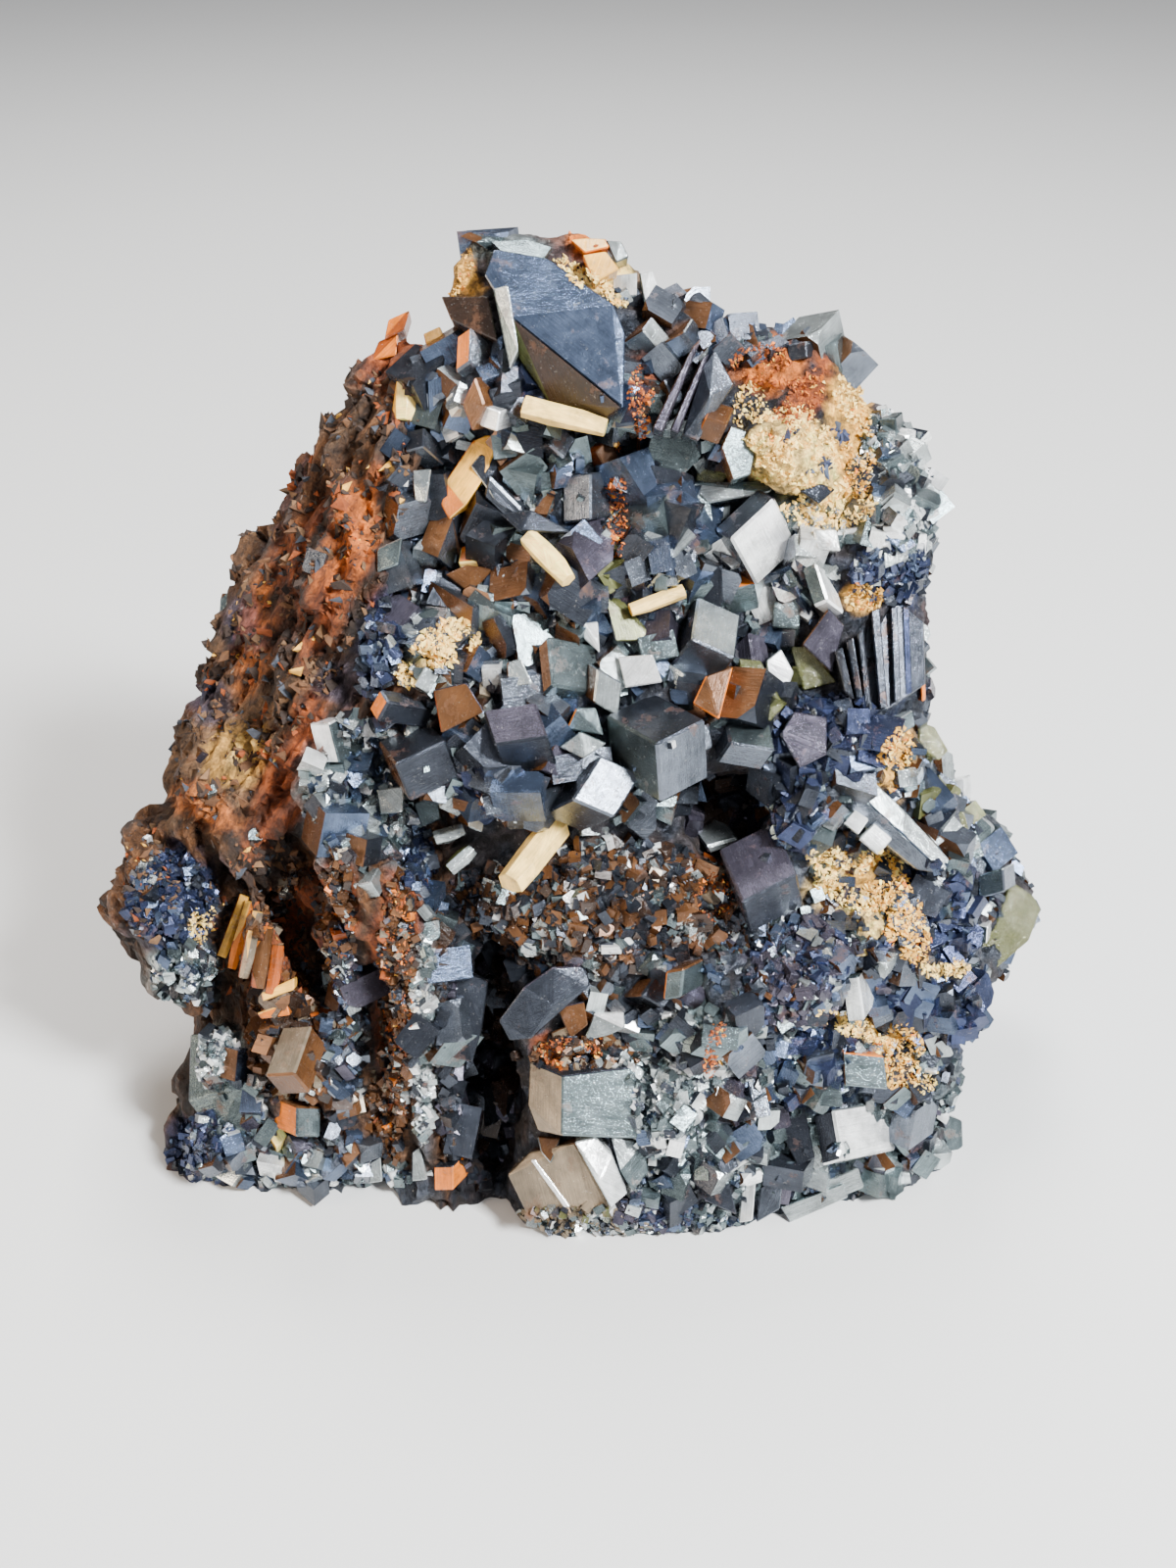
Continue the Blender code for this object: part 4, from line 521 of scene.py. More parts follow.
# Clear yellow-green crystals, as for the slabs
GLASSY_SLABS = (
    (3, (75.4, 67.2, 0.8), (77.6, 67.4, 1.2), (80, 72, 2), (78.6, 73.6, 1.8), (76, 72.6, 2)),
    (3, (80.8, 66, 1.2), (82.6, 66, 1.6), (85.4, 69.6, 1.4), (82, 70.4, 1.2)),
    (4, (94.8, 83.2, 2), (98.4, 82.8, 2), (99.4, 86.6, 1.6), (97, 88.8, 1.8), (95, 86.4, 2.2)),
    (4, (93.8, 73.6, 1), (95.4, 74.2, 0.8), (96.8, 76.6, 0.6), (95.8, 77.6, 1), (93.8, 76.2, 1.2)),
    (8, (103.3, 90, 1), (105.5, 91.5, 0.4), (106.2, 92.8, 0), (105, 96, 0.4), (100.5, 99.8, 0.4),
        (100, 96.5, 1), (102, 94, 1.4)),
    (2.5, (58, 56, 0.4), (60.6, 57.4, 0.4), (60.2, 60.8, 0.4), (58.2, 60, 0.4)),
    (2.5, (71.4, 46.4, 1), (74.2, 48.4, 1), (73.4, 50, 0.8), (71, 49, 0.8)),
)

# What grows where: the kind, the middle of the patch on the sheet, its half width and half
# height, its lean in degrees, how many crystals and their smallest and largest width
GROWTHS = (
    ("steel", 60, 62, 19, 22, 0, 620, 1.6, 4.6),
    ("steel", 49, 47, 9, 14, 10, 170, 1.6, 4.4),
    ("steel", 66, 33.5, 7, 5, 10, 60, 1.3, 3.2),
    ("teal", 75, 60, 9, 11, 0, 170, 1.5, 4),
    ("steel", 56, 78, 16, 6, 0, 150, 1.4, 3.8),
    ("bright", 80, 57, 6, 4, 0, 50, 1.4, 3.2),
    ("bright", 91, 50, 4, 6, 0, 60, 1, 2.4),
    ("bright", 45, 41, 4, 4, 0, 14, 1.2, 2.6),
    ("teal", 37.5, 80.5, 6.5, 7.5, 10, 130, 0.9, 2.2),
    ("teal", 52, 61.5, 9, 3.5, 0, 80, 0.9, 2.4),
    ("teal", 92, 49, 3.8, 7.5, -8, 70, 1, 2.4),
    ("indigo", 53, 38.6, 3, 2.6, 0, 30, 1.2, 3),
    ("indigo", 50.5, 80.3, 3.2, 2.8, 0, 60, 0.9, 2),
    ("indigo", 82.6, 75.6, 3.4, 3.6, 0, 30, 1.2, 3),
    ("indigo", 87, 75.5, 3.6, 4, 0, 30, 1.2, 3),
    ("indigo", 80.6, 82, 3.2, 4.6, 0, 40, 1, 2.4),
    ("indigo", 95, 93.6, 4.6, 5.6, 0, 60, 1.2, 3),
    ("indigo", 96.4, 102.8, 4.2, 3.6, 0, 40, 1.2, 2.8),
    ("steel", 91.5, 99.5, 3.4, 4.4, 0, 30, 1.2, 2.8),
    ("indigo", 83.8, 108.6, 5, 4.4, 0, 40, 1.2, 2.8),
    ("steel", 35, 106, 2.4, 7, 0, 60, 0.9, 2.2),
    ("rusty", 29, 104, 4, 5, 0, 60, 0.9, 2.4),
    ("rusty", 32, 113, 4, 4, 0, 40, 1, 2.2),
    ("steel", 30, 117.8, 9, 3.4, 0, 90, 1.1, 2.8),
    ("steel", 84, 115, 12, 8, 0, 130, 1.2, 3.2),
    ("teal", 78, 118, 18, 5, 0, 120, 1.2, 3),
    ("bright", 71, 112, 6, 9, 0, 26, 0.9, 1.8),
    ("teal", 70, 104, 6, 4, 0, 40, 1.2, 2.8),
    ("bright", 78, 62, 6, 6, 0, 30, 1.4, 3),
    ("steel", 60, 101, 12, 3.5, 0, 60, 1.2, 2.6),
    ("steel", 98.5, 84, 4.5, 7.5, 20, 80, 1.4, 3.4),
    ("steel", 78, 34.2, 8, 2, -14, 50, 1.2, 2.6),
    ("steel", 88, 84, 10, 8, 20, 60, 1, 2.6),
    ("steel", 22.6, 112, 4, 4, 0, 20, 1.2, 2.6),
    # The dark rows lie in the front vug and the ledge's vug: their dark crystals are partly painted
    # shade.
    ("dark", 50, 107, 3, 10, 0, 50, 1.4, 3.2),
    ("dark", 74, 82, 5, 3, 0, 30, 1.2, 2.8),
    ("olive", 62.5, 57.5, 2.6, 3.6, 0, 20, 1.4, 3),
    ("olive", 96.5, 82.5, 2.4, 2.6, 0, 20, 1.2, 2.6),
    ("olive", 79.5, 69, 3, 3, 0, 12, 1.2, 2.4),
    ("rusty", 65, 42, 1.6, 4, 0, 30, 1, 2.4),
    ("rusty", 72.8, 91, 2.6, 3.4, 0, 24, 1, 2.4),
    ("rusty", 47, 72.5, 3.4, 3, 0, 30, 1, 2.4),
)

# Crusts of crystals too small to count, given as the growths are
DRUSE = (
    ("druse", 61.5, 92.5, 13.5, 6.8, 0, 1500, 0.4, 1.4),
    ("druse", 48.5, 92.6, 3.4, 3.4, 0, 160, 0.4, 1.2),
    ("teal", 60, 62, 20, 23, 0, 1300, 0.5, 1.6),
    ("teal", 80, 112, 18, 10, 0, 900, 0.4, 1.4),
    ("teal", 78, 121.5, 19, 3, 0, 500, 0.4, 1.2),
    ("teal", 31, 119.5, 13, 1.6, 0, 260, 0.4, 1.2),
    ("steel", 88, 92, 14, 20, 0, 900, 0.4, 1.4),
    ("steel", 76, 96, 6, 6, 0, 200, 0.4, 1.2),
    ("steel", 35, 105, 2.2, 9, 0, 320, 0.4, 1.2),
    ("rusty", 29.5, 106, 4, 7, 0, 420, 0.4, 1.2),
    ("steel", 29, 118, 9, 3, 0, 240, 0.4, 1.2),
    ("bright", 69.4, 111, 4.6, 8.6, 10, 1500, 0.3, 1),
    ("bright", 43.2, 106, 1.1, 11, 0, 330, 0.4, 1.1),
    ("bright", 22, 108, 2, 3.2, 30, 200, 0.3, 0.8),
    ("teal", 37.5, 80.5, 6.5, 7.5, 10, 700, 0.4, 1.2),
    ("bright", 91.6, 49.5, 4, 7.5, -8, 900, 0.4, 1.2),
    ("bright", 82.6, 54, 5, 2.4, 0, 200, 0.4, 1.1),
    # The dark rows line the front vug: partly painted shade of the hollow.
    ("dark", 46, 104, 1.4, 14, 0, 400, 0.5, 1.5),
    ("dark", 49, 108, 4, 13, 0, 300, 0.5, 1.5),
    ("teal", 67.5, 54, 2.6, 7, 0, 160, 0.5, 1.3),
    ("teal", 19, 99.4, 3.6, 3, 0, 200, 0.4, 1.2),
    ("teal", 23.6, 112.6, 3.6, 4, 0, 160, 0.5, 1.3),
    ("indigo", 67.2, 55.8, 2.6, 5.2, 5, 240, 0.4, 1.2),
    ("indigo", 38.8, 66, 2, 5, 10, 180, 0.4, 1.2),
    ("indigo", 91, 58.5, 4, 3, 0, 250, 0.4, 1.2),
    ("indigo", 85, 75.5, 6, 4.6, 0, 300, 0.4, 1.2),
    ("indigo", 80.6, 82, 3.2, 4.6, 0, 200, 0.4, 1.2),
    ("indigo", 95, 93.6, 4.6, 5.6, 0, 400, 0.4, 1.3),
    ("indigo", 96.4, 102.8, 4.2, 3.6, 0, 300, 0.4, 1.2),
    ("indigo", 91.5, 99.5, 3.4, 4.4, 0, 240, 0.4, 1.2),
    ("indigo", 83.8, 108.6, 5, 4.4, 0, 350, 0.4, 1.2),
    ("indigo", 17.6, 91.8, 4.6, 5, 0, 420, 0.3, 1),
    ("indigo", 21, 117.6, 3.8, 3.8, 0, 250, 0.4, 1.1),
    ("indigo", 42.4, 87.6, 2.2, 3.2, 0, 120, 0.4, 1.2),
    ("indigo", 34.6, 97.6, 1.4, 3.4, 0, 120, 0.3, 0.9),
    ("violet", 81.6, 99.6, 5.8, 5, -50, 600, 0.4, 1.3),
    ("rusty", 57.6, 107.6, 3.6, 1.6, 0, 120, 0.4, 1),
    ("rusty", 40.6, 100, 2, 11, 0, 650, 0.3, 1),
    ("rusty", 34.4, 93, 1.8, 7, 0, 320, 0.3, 1),
    ("rusty", 39.6, 113, 2, 6, 0, 240, 0.3, 1),
    ("rusty", 28, 93, 1, 6, 25, 160, 0.3, 1),
    ("rusty", 31, 104, 5, 4, 0, 200, 0.4, 1.2),
    ("gilt", 59, 125, 8, 1.9, 0, 420, 0.3, 0.9),
    ("violet", 67, 123.6, 4, 1.8, 0, 220, 0.4, 1.1),
    ("teal", 72, 125.4, 12, 1.4, 0, 260, 0.4, 1),
    ("steel", 88, 121.6, 9, 2.4, 0, 200, 0.4, 1.1),
    ("rusty", 60, 107.4, 5.6, 1.6, 0, 260, 0.3, 1),
    ("bright", 63.6, 108, 3, 1, 0, 160, 0.3, 0.9),
)

# Each kind's colours and how often each comes, and what shows on faces that look left: painted
# light on that side, mostly the warm light from the left, with some iron film.
KINDS = {
    "steel": ({"steel": 6, "blue": 4, "slate": 5, "teal": 4, "pale": 1.5, "violet": 1,
               "silver": 0.6}, "brown"),
    "teal": ({"teal": 6, "pale": 3, "silver": 1, "slate": 3, "blue": 3}, "slate"),
    # The bright kind's silver and pale faces are largely painted glare on the crystals.
    "bright": ({"silver": 4, "pale": 5, "teal": 4, "slate": 2}, "steel"),
    "indigo": ({"indigo": 6, "slate": 3, "blue": 2, "pale": 0.3}, "indigo"),
    "violet": ({"violet": 6, "indigo": 3, "blue": 3, "pale": 0.5}, "violet"),
    "rusty": ({"brown": 7, "umber": 5, "tan": 1.5, "rust": 0.8, "orange": 0.25, "slate": 3,
               "pale": 0.8}, "brown"),
    "gilt": ({"tan": 4, "pale": 3, "teal": 3, "olive": 1, "slate": 4, "silver": 1}, "tan"),
    # The dark kind fills the vugs, and its darkness there is partly painted shade of those hollows.
    "dark": ({"slate": 6, "violet": 2, "umber": 2}, "umber"),
    "druse": ({"slate": 8, "umber": 4, "pale": 1.2, "teal": 2, "brown": 4, "silver": 0.9}, "brown"),
    "olive": ({"olive": 5, "teal": 2, "slate": 2}, "olive"),
    "cream_powder": ({"cream": 8, "ochre": 1.6}, "cream"),
    "ochre_powder": ({"cream": 3, "ochre": 6, "orange": 0.6}, "ochre"),
    "rust_powder": ({"orange": 3, "rust": 5, "ochre": 0.8}, "rust"),
    "flank": ({"brown": 5, "umber": 6, "rust": 2, "earth": 3, "slate": 2, "ochre": 0.5}, "umber"),
}
DULL_KINDS = ("druse", "dark", "indigo", "violet", "rusty")

# What each set of random draws starts from
BIG_SEED = 3
GLASSY_SEED = 5
GROWTH_SEED = 11
CRUST_SEED = 23
FAR_SEED = 31

# A face's shade: the crystal's own, the face's own, how much it changes across the face and the
# darkest it gets there. The change across a face is a painted sheen, lighter to one side and
# darker to the other as a soft reflection would be. Where a pattern starts on a face is drawn up
# to so many millimetres.
SHADES = (0.82, 1.2)
FACE_SHADES = (0.88, 1.12)
SHEEN_SWAY = 0.65
LEAST_TONE = 0.4
PATTERN_REACH = 90.0

# How far a face's normal leans to the left or up for the face to take the second or third colour.
# The second colour is mostly painted warm light from the left.
LOOKS_LEFT, LOOKS_UP = -0.45, 0.62

# Small crystals: how often the second colour is the kind's, how strongly the widths lean to the
# small ones, how uneven the sides are, how far the middle is above the rock and the least height
# of it, both for each millimetre of width, and how far they lean over
LEFT_SHARE = 0.6
SIZE_BIAS = 1.6
SIDE_SPREAD = (0.6, 1.4)
GROWTH_RISE = (-0.35, 0.15)
LEAST_GROWTH_HEIGHT = 0.5
MOST_SHEAR = 0.35

# The share of a small crystal's corners that a facet cuts off, how deep it cuts as a share of
# the least side, and how narrow a crystal is that has none cut
CUT_SHARE = 0.25
CUT_DEPTHS = (0.12, 0.4)
LEAST_CUT = 0.7

# How far small crystals keep from the big ones, how far behind the rock's face a big one no
# longer counts, both for each millimetre of width, and how often and how wide they ride on one
CLEARANCE = 0.48
POKES_THROUGH = 0.75
RIDER_SHARE = 0.015
RIDER_WIDTH = 0.9

# Where small crystals and crumbs do grow over the big crystals: the middle of the patch on the
# sheet, its half width and half height
OVERGROWN = (
    (59.5, 107.6, 5.8, 1.7), (57.4, 124.4, 6, 1.4), (89.6, 72.4, 3.6, 1.2),
    (96, 89, 1.8, 1.6), (64.6, 112, 1.2, 4.2), (21.8, 108.6, 1.5, 2.8),
    (88.6, 62.6, 3.4, 1), (60.4, 28.4, 2.6, 1.2), (84.6, 117.6, 2.4, 1.2),
)

# Powdery crusts and crumbs: the kind, the middle on the sheet, half width and half height,
# lean, how many crumbs and their smallest and largest width
CRUSTS = (
    ("cream_powder", 45.6, 65.6, 3.8, 2.2, -25, 714, 0.18, 0.79),
    ("ochre_powder", 43.6, 67, 1.6, 1.4, 0, 102, 0.18, 0.66),
    ("cream_powder", 41.8, 68.8, 1.6, 1.3, 0, 153, 0.18, 0.66),
    ("cream_powder", 60.2, 28.8, 4.4, 1, 33, 408, 0.18, 0.59),
    ("rust_powder", 60.2, 24.4, 2.2, 1.2, 0, 102, 0.18, 0.59),
    ("ochre_powder", 46.4, 27.6, 1.8, 3, 20, 272, 0.18, 0.46),
    ("rust_powder", 78.6, 37.4, 4, 2.2, 10, 510, 0.18, 0.53),
    ("rust_powder", 82.2, 40.6, 1.8, 5.6, 38, 510, 0.18, 0.53),
    ("cream_powder", 76.6, 42, 2, 3, 0, 204, 0.18, 0.59),
    ("cream_powder", 80.6, 46, 4.8, 4.6, 30, 1190, 0.18, 0.66),
    ("cream_powder", 86.4, 40.6, 2.2, 4, -20, 442, 0.18, 0.59),
    ("ochre_powder", 87.4, 46.4, 1.8, 5, 0, 510, 0.18, 0.59),
    ("cream_powder", 84.4, 51.6, 5, 2.4, 0, 612, 0.18, 0.66),
    ("indigo", 83.4, 47.6, 1.5, 0.9, 0, 34, 0.6, 1.3),
    ("indigo", 85.4, 44, 0.8, 1.1, 0, 20, 0.6, 1.2),
    ("indigo", 80.6, 44.4, 1.1, 0.6, 0, 14, 0.5, 1.1),
    ("ochre_powder", 88.2, 61, 2, 1.4, 0, 204, 0.18, 0.66),
    ("ochre_powder", 91.2, 77.6, 1.6, 3.6, 20, 408, 0.18, 0.66),
    ("cream_powder", 84.4, 88.6, 2.4, 2.4, 0, 442, 0.18, 0.66),
    ("cream_powder", 87.8, 91.4, 4, 1.8, 25, 442, 0.18, 0.66),
    ("ochre_powder", 91.4, 92.6, 2.4, 6.4, -25, 1190, 0.18, 0.73),
    ("cream_powder", 89.6, 88.4, 2.6, 1.8, 0, 238, 0.18, 0.66),
    ("cream_powder", 96.4, 98.8, 2.6, 1, 0, 272, 0.18, 0.59),
    ("cream_powder", 87.6, 104.8, 4.4, 1.2, 18, 578, 0.18, 0.59),
    ("ochre_powder", 91.6, 107.8, 2.8, 3.4, 0, 578, 0.18, 0.66),
    ("cream_powder", 94.4, 109.6, 1.4, 2, 0, 136, 0.18, 0.53),
    ("cream_powder", 20.6, 94.2, 1.3, 2.2, 20, 187, 0.18, 0.53),
    ("rust_powder", 65.4, 41, 1.3, 3.8, 0, 272, 0.18, 0.53),
    ("rust_powder", 58, 107.4, 3.4, 1.4, 0, 340, 0.18, 0.53),
    ("rust_powder", 63, 51, 1, 6, 0, 340, 0.18, 0.53),
    ("rust_powder", 73, 107, 0.9, 3, 15, 153, 0.18, 0.53),
    ("rust_powder", 40.6, 100, 1.6, 10, 0, 272, 0.18, 0.46),
    ("rust_powder", 73, 91.4, 2, 2.6, 0, 153, 0.18, 0.53),
    ("flank", 30, 61, 7.5, 26, 25, 1500, 0.3, 1.4),
    ("flank", 27, 94, 6, 9, 0, 500, 0.3, 1.2),
    ("flank", 15, 90, 3.6, 6, 0, 200, 0.3, 1),
)

# The gaps in the crusts: how wide they are and how few
RAGGED = 2.6
RAGGED_CUT = -0.18

# A crumb: how many points it is drawn round and how far they spread for each millimetre of
# width, how strongly the widths lean to the small ones and how far it is above what it lies on
CRUMB_POINTS = 8
CRUMB_SPREAD = 0.33
CRUMB_BIAS = 1.4
CRUMB_RISE = (-0.4, 0.05)

# How far out a stain's edge is and how soft, for a half width of 1
STAIN_REACH, STAIN_FADE = 1.15, 0.35

# The patterns in the rock's colours: how far apart their spots are, and for the ragged edges
# how strong too
FINE_WARP, BROAD_WARP = (1.3, 0.45), (3.0, 0.45)
MOTTLE_SPACING, SPECKLE_SPACING, BACK_SPACING = 2.2, 0.8, 11.0
MOTTLE_STRENGTH, SPECKLE_STRENGTH = 0.35, 0.6

# How a pattern turns into cover: its slope, its start and the most it covers
FACING_COVER = (-3.0, 0.6, 1.0)
MOTTLE_COVER = (2.5, 0.5, 1.0)
EARTH_COVER = (2.2, 0.0, 0.8)
BACK_RUST_COVER = (1.4, 0.0, 0.35)
BACK_OCHRE_COVER = (-1.6, -0.4, 0.18)
FRONT_UMBER = 0.6

# Stains and skins of the rock itself, with painted shade in some hollows and along the foot:
# colour, middle on the sheet, half width and half height, lean and strength
STAINS = (
    # These three slate rows darken the rock's lowest band: painted shadow where the specimen meets the
    # floor.
    ("slate", 60, 126, 12, 3, 0, 1),
    ("slate", 82, 124, 14, 3, 0, 1),
    ("slate", 34, 122, 14, 3, 0, 1),
    ("slate", 58, 60, 18, 22, 0, 0.6),
    ("teal", 82, 113, 16, 10, 0, 0.9),
    ("steel", 88, 92, 13, 20, 0, 0.7),
    ("brown", 31, 105, 6, 9, 0, 0.8),
    ("slate", 30, 118, 9, 4, 0, 0.8),
    ("orange", 35.4, 55.5, 3, 6.4, 22, 1),
    ("rust", 33, 58, 5, 9, 22, 0.7),
    ("rust", 41, 36, 3.2, 5, 25, 0.9),
    # Umber in the flank's slot: painted shade in that hollow.
    ("umber", 36.3, 64.5, 1.2, 4, 5, 1),
    ("umber", 31.7, 57, 0.7, 5, 20, 1),
    ("earth", 23, 76.4, 5.6, 8.6, 25, 0.9),
    ("ochre", 24, 77, 3.2, 3.4, 20, 0.55),
    ("cream", 24.8, 76.6, 1.6, 1.6, 0, 0.5),
    ("orange", 21, 82.4, 3.6, 2, 30, 0.5),
    ("orange", 25.8, 66, 2, 6, 15, 0.5),
    ("indigo", 21.6, 71.6, 2.4, 2.6, 0, 0.6),
    ("indigo", 25, 64, 2, 3, 0, 0.5),
    ("umber", 29, 63, 2, 4, 10, 0.7),
    ("rust", 30, 79, 3, 9, 25, 0.9),
    # Umber down the outer groove: painted shade in it.
    ("umber", 27.4, 88.4, 1.6, 5, 35, 0.9),
    ("indigo", 17.6, 91.8, 4.8, 5.2, 0, 1),
    ("brown", 13.8, 89, 3, 5, 0, 1),
    ("teal", 18.6, 99.2, 4, 3, 0, 0.8),
    ("indigo", 21, 117.6, 4, 4, 0, 0.9),
    ("teal", 22.4, 109, 3.4, 4.6, 20, 0.9),
    ("rust", 29, 96, 2, 8, 25, 0.8),
    ("rust", 34.4, 92, 2, 7, 0, 0.9),
    ("indigo", 34.4, 99.6, 1.8, 4.6, 0, 0.8),
    ("rust", 40.6, 100, 2.6, 13, 0, 0.9),
    ("steel", 43.4, 106, 1.2, 11, 0, 0.8),
    ("teal", 37.5, 80.5, 6.5, 7.5, 10, 0.8),
    ("indigo", 38.8, 66, 2, 5, 10, 0.9),
    ("violet", 35, 70, 2.6, 2.4, 0, 0.8),
    ("orange", 79, 37.4, 4.4, 2.6, -10, 1),
    ("rust", 82.2, 40.8, 2, 5.6, 38, 1),
    ("cream", 82, 47.4, 6.4, 4.6, 20, 1),
    ("ochre", 87.2, 44, 2.6, 6.4, -10, 1),
    ("teal", 92, 50, 4, 8, -8, 1),
    ("cream", 85, 52, 5, 2, 0, 0.9),
    ("indigo", 91, 58.5, 4, 3.4, 0, 1),
    ("ochre", 88.2, 61, 2, 1.6, 0, 1),
    ("ochre", 91.2, 78, 2.2, 4, 20, 1),
    ("indigo", 87, 74.5, 5, 4, 0, 0.9),
    ("cream", 85.6, 89.6, 3.4, 3.6, 0, 1),
    ("cream", 91.4, 92.4, 3.2, 7, 25, 1),
    ("ochre", 89.4, 88.8, 3.8, 2.4, 0, 1),
    ("indigo", 95.4, 93.6, 4.4, 5.4, 0, 1),
    ("indigo", 96.4, 103, 4.4, 3.8, 0, 1),
    ("slate", 91.5, 99.5, 3.4, 4.4, 0, 0.9),
    ("cream", 87.6, 104.8, 4.6, 1.8, -18, 1),
    ("ochre", 92, 108.8, 3, 2.8, 0, 1),
    ("violet", 81.6, 99.6, 6.2, 5.4, -50, 1),
    ("indigo", 83.8, 108.8, 5.4, 4.6, 0, 0.9),
    # Near white on the rock under the bright druse: painted glare.
    ("silver", 69.8, 111.5, 4.8, 8.2, 10, 0.9),
    ("indigo", 78.6, 110, 3.6, 7, 0, 0.6),
    ("rust", 57.8, 107.6, 3.8, 1.8, 0, 1),
    ("rust", 73, 107, 1, 4, 15, 0.8),
    ("brown", 61.5, 92.5, 12, 6, 0, 0.6),
    ("rust", 72.8, 91, 2.8, 3.6, 0, 0.8),
    ("rust", 65, 42, 2, 6, 0, 0.9),
    ("orange", 64.8, 44.6, 1.6, 3, 0, 0.8),
    ("rust", 63.6, 53, 1.8, 6, 0, 0.8),
    ("indigo", 67.2, 55.8, 2.8, 5.4, 5, 0.9),
    ("ochre", 46.8, 28, 2, 3.2, -20, 0.9),
    ("teal", 52, 25.4, 4, 1.6, 0, 0.8),
    ("orange", 60.2, 24.6, 2.6, 1.6, 0, 1),
    ("cream", 60.6, 29.4, 5, 1.2, -33, 1),
    ("brown", 74, 32.8, 6, 1.4, -12, 0.8),
    ("indigo", 53, 38.6, 3.2, 2.8, 0, 0.9),
    ("cream", 45.8, 65.6, 4, 2.4, 20, 1),
    # These three umber rows lie in the front vug, the ledge's vug and the hollow by the glassy
    # crystals: painted shade in those hollows.
    ("umber", 50, 108, 3.4, 12, 0, 1),
    ("umber", 74.4, 83, 4.6, 4.4, 0, 1),
    ("umber", 58.5, 58.5, 2.6, 3.4, 0, 0.9),
)


def on_sheet(x, y, towards=0.0):
    """The point, in millimetres, seen at x, y on the sheet and standing that far before it."""
    across = (x - SHEET_CENTRE[0]) / EYE_TO_SHEET
    up = (SHEET_CENTRE[1] - y) / EYE_TO_SHEET
    depth = EYE_TO_SHEET - towards
    return EYE + (FORWARD + RIGHT * across + UP * up) * depth


def depth_of(point):
    """How far a point lies from the eye, along the line that looks straight at the sheet."""
    return (point - EYE).dot(FORWARD)


def seen_at(point):
    """Where a point is seen on the sheet: x and y."""
    away = point - EYE
    scale = EYE_TO_SHEET / away.dot(FORWARD)
    return SHEET_CENTRE[0] + away.dot(RIGHT) * scale, SHEET_CENTRE[1] - away.dot(UP) * scale


def hull(points):
    """A mesh of the convex hull of the points."""
    shape = bmesh.new()
    corners = [shape.verts.new(point) for point in points]
    made = bmesh.ops.convex_hull(shape, input=corners)
    spare = [e for e in made["geom_interior"] + made["geom_unused"]
             if isinstance(e, bmesh.types.BMVert)]
    bmesh.ops.delete(shape, geom=list(dict.fromkeys(spare)), context="VERTS")
    bmesh.ops.recalc_face_normals(shape, faces=shape.faces)
    return shape


def add_hull(target, points):
    """Adds the convex hull of the points to a bmesh."""
    shape = hull(points)
    made = {v: target.verts.new(v.co) for v in shape.verts}
    for face in shape.faces:
        target.faces.new([made[v] for v in face.verts])
    shape.free()


def centre_of(points):
    """The mean of some points."""
    return sum(points, Vector()) / len(points)


def before_rear(x, y, back):
    """The point seen at x, y on the sheet that lies that far behind it or on the rear wall."""
    line = (on_sheet(x, y) - EYE) / EYE_TO_SHEET
    wall = (REAR_WALL - EYE.y - REAR_LEAN * EYE.z) / (line.y + REAR_LEAN * line.z)
    return on_sheet(x, y, max(back, EYE_TO_SHEET - wall))


def add_boulder(target, back, outline):
    """A rock form: its outline near the eye, and the same outline a little smaller behind."""
    front = [on_sheet(*corner) for corner in outline]
    far = [before_rear(x, y, back) for x, y, _ in outline]
    middle = centre_of(far)
    add_hull(target, front + [middle + (corner - middle) * BOULDER_TAPER for corner in far])


def first_hit(tree, x, y):
    """How far from the eye the rock's surface is at x, y on the sheet."""
    line = (on_sheet(x, y) - EYE).normalized()
    place = tree.ray_cast(EYE, line)[0]
    return None if place is None else depth_of(place)


def rock_depth(tree, x, y):
    """How far off the rock is at x, y on the sheet, or at its edge on the way to the middle."""
    for step in range(EDGE_STEPS):
        share = step / EDGE_STEPS
        hit = first_hit(tree, x + (SHEET_CENTRE[0] - x) * share, y + (SHEET_CENTRE[1] - y) * share)
        if hit is not None:
            return hit


def add_lump(target, tree, lump):
    """A round mass sunk into the rock's face."""
    x, y, across, along, lean, proud = lump
    depth = first_hit(tree, x, y) - proud
    axes = Matrix((RIGHT, UP, -FORWARD)).transposed().to_4x4()
    shape = Matrix.Diagonal((across, along, min(across, along), 1.0))
    place = Matrix.Translation(on_sheet(x, y, EYE_TO_SHEET - depth))
    turn = Matrix.Rotation(-math.radians(lean), 4, "Z")
    bmesh.ops.create_icosphere(target, subdivisions=2, radius=1.0,
                               matrix=place @ axes @ turn @ shape)


def humps(point, spacing, height):
    """How high the skin is at a point, over humps of that spacing and height."""
    return noise.noise(point / spacing) * height


def share_past(distance, fade):
    """0 up to an edge, 1 once well past it."""
    return min(1.0, max(0.0, distance / fade))


def roughness(point):
    """How far the rock's skin stands out at a point: lumps all over, and ribs on the flank."""
    grain = Vector((point.x + RIB_LEAN * point.z, point.y, point.z)) * RIB_PULL
    flank = share_past(FLANK_EDGE - point.x, FLANK_FADE)
    rear = share_past(point.y - REAR_EDGE, REAR_FADE)
    lumps = humps(point, *BROAD_LUMPS) + humps(point, *SMALL_LUMPS)
    return lumps + flank * humps(grain, *FLANK_RIBS) + rear * humps(point, *REAR_HUMPS)


def grain_at(point):
    """A point read along the rock's grain: even in front, drawn out down the flank's grooves."""
    x, y = seen_at(point)
    bend, end = GROOVE_BENDS
    start = (x - GROOVE_SLOPES[0] * min(0.0, y - bend)
             - GROOVE_SLOPES[1] * min(max(0.0, y - bend), end - bend))
    drawn = Vector((start, y, depth_of(point))) * GRAIN_PULL
    return point.lerp(drawn, share_past(GRAIN_EDGE - point.x, GRAIN_FADE))


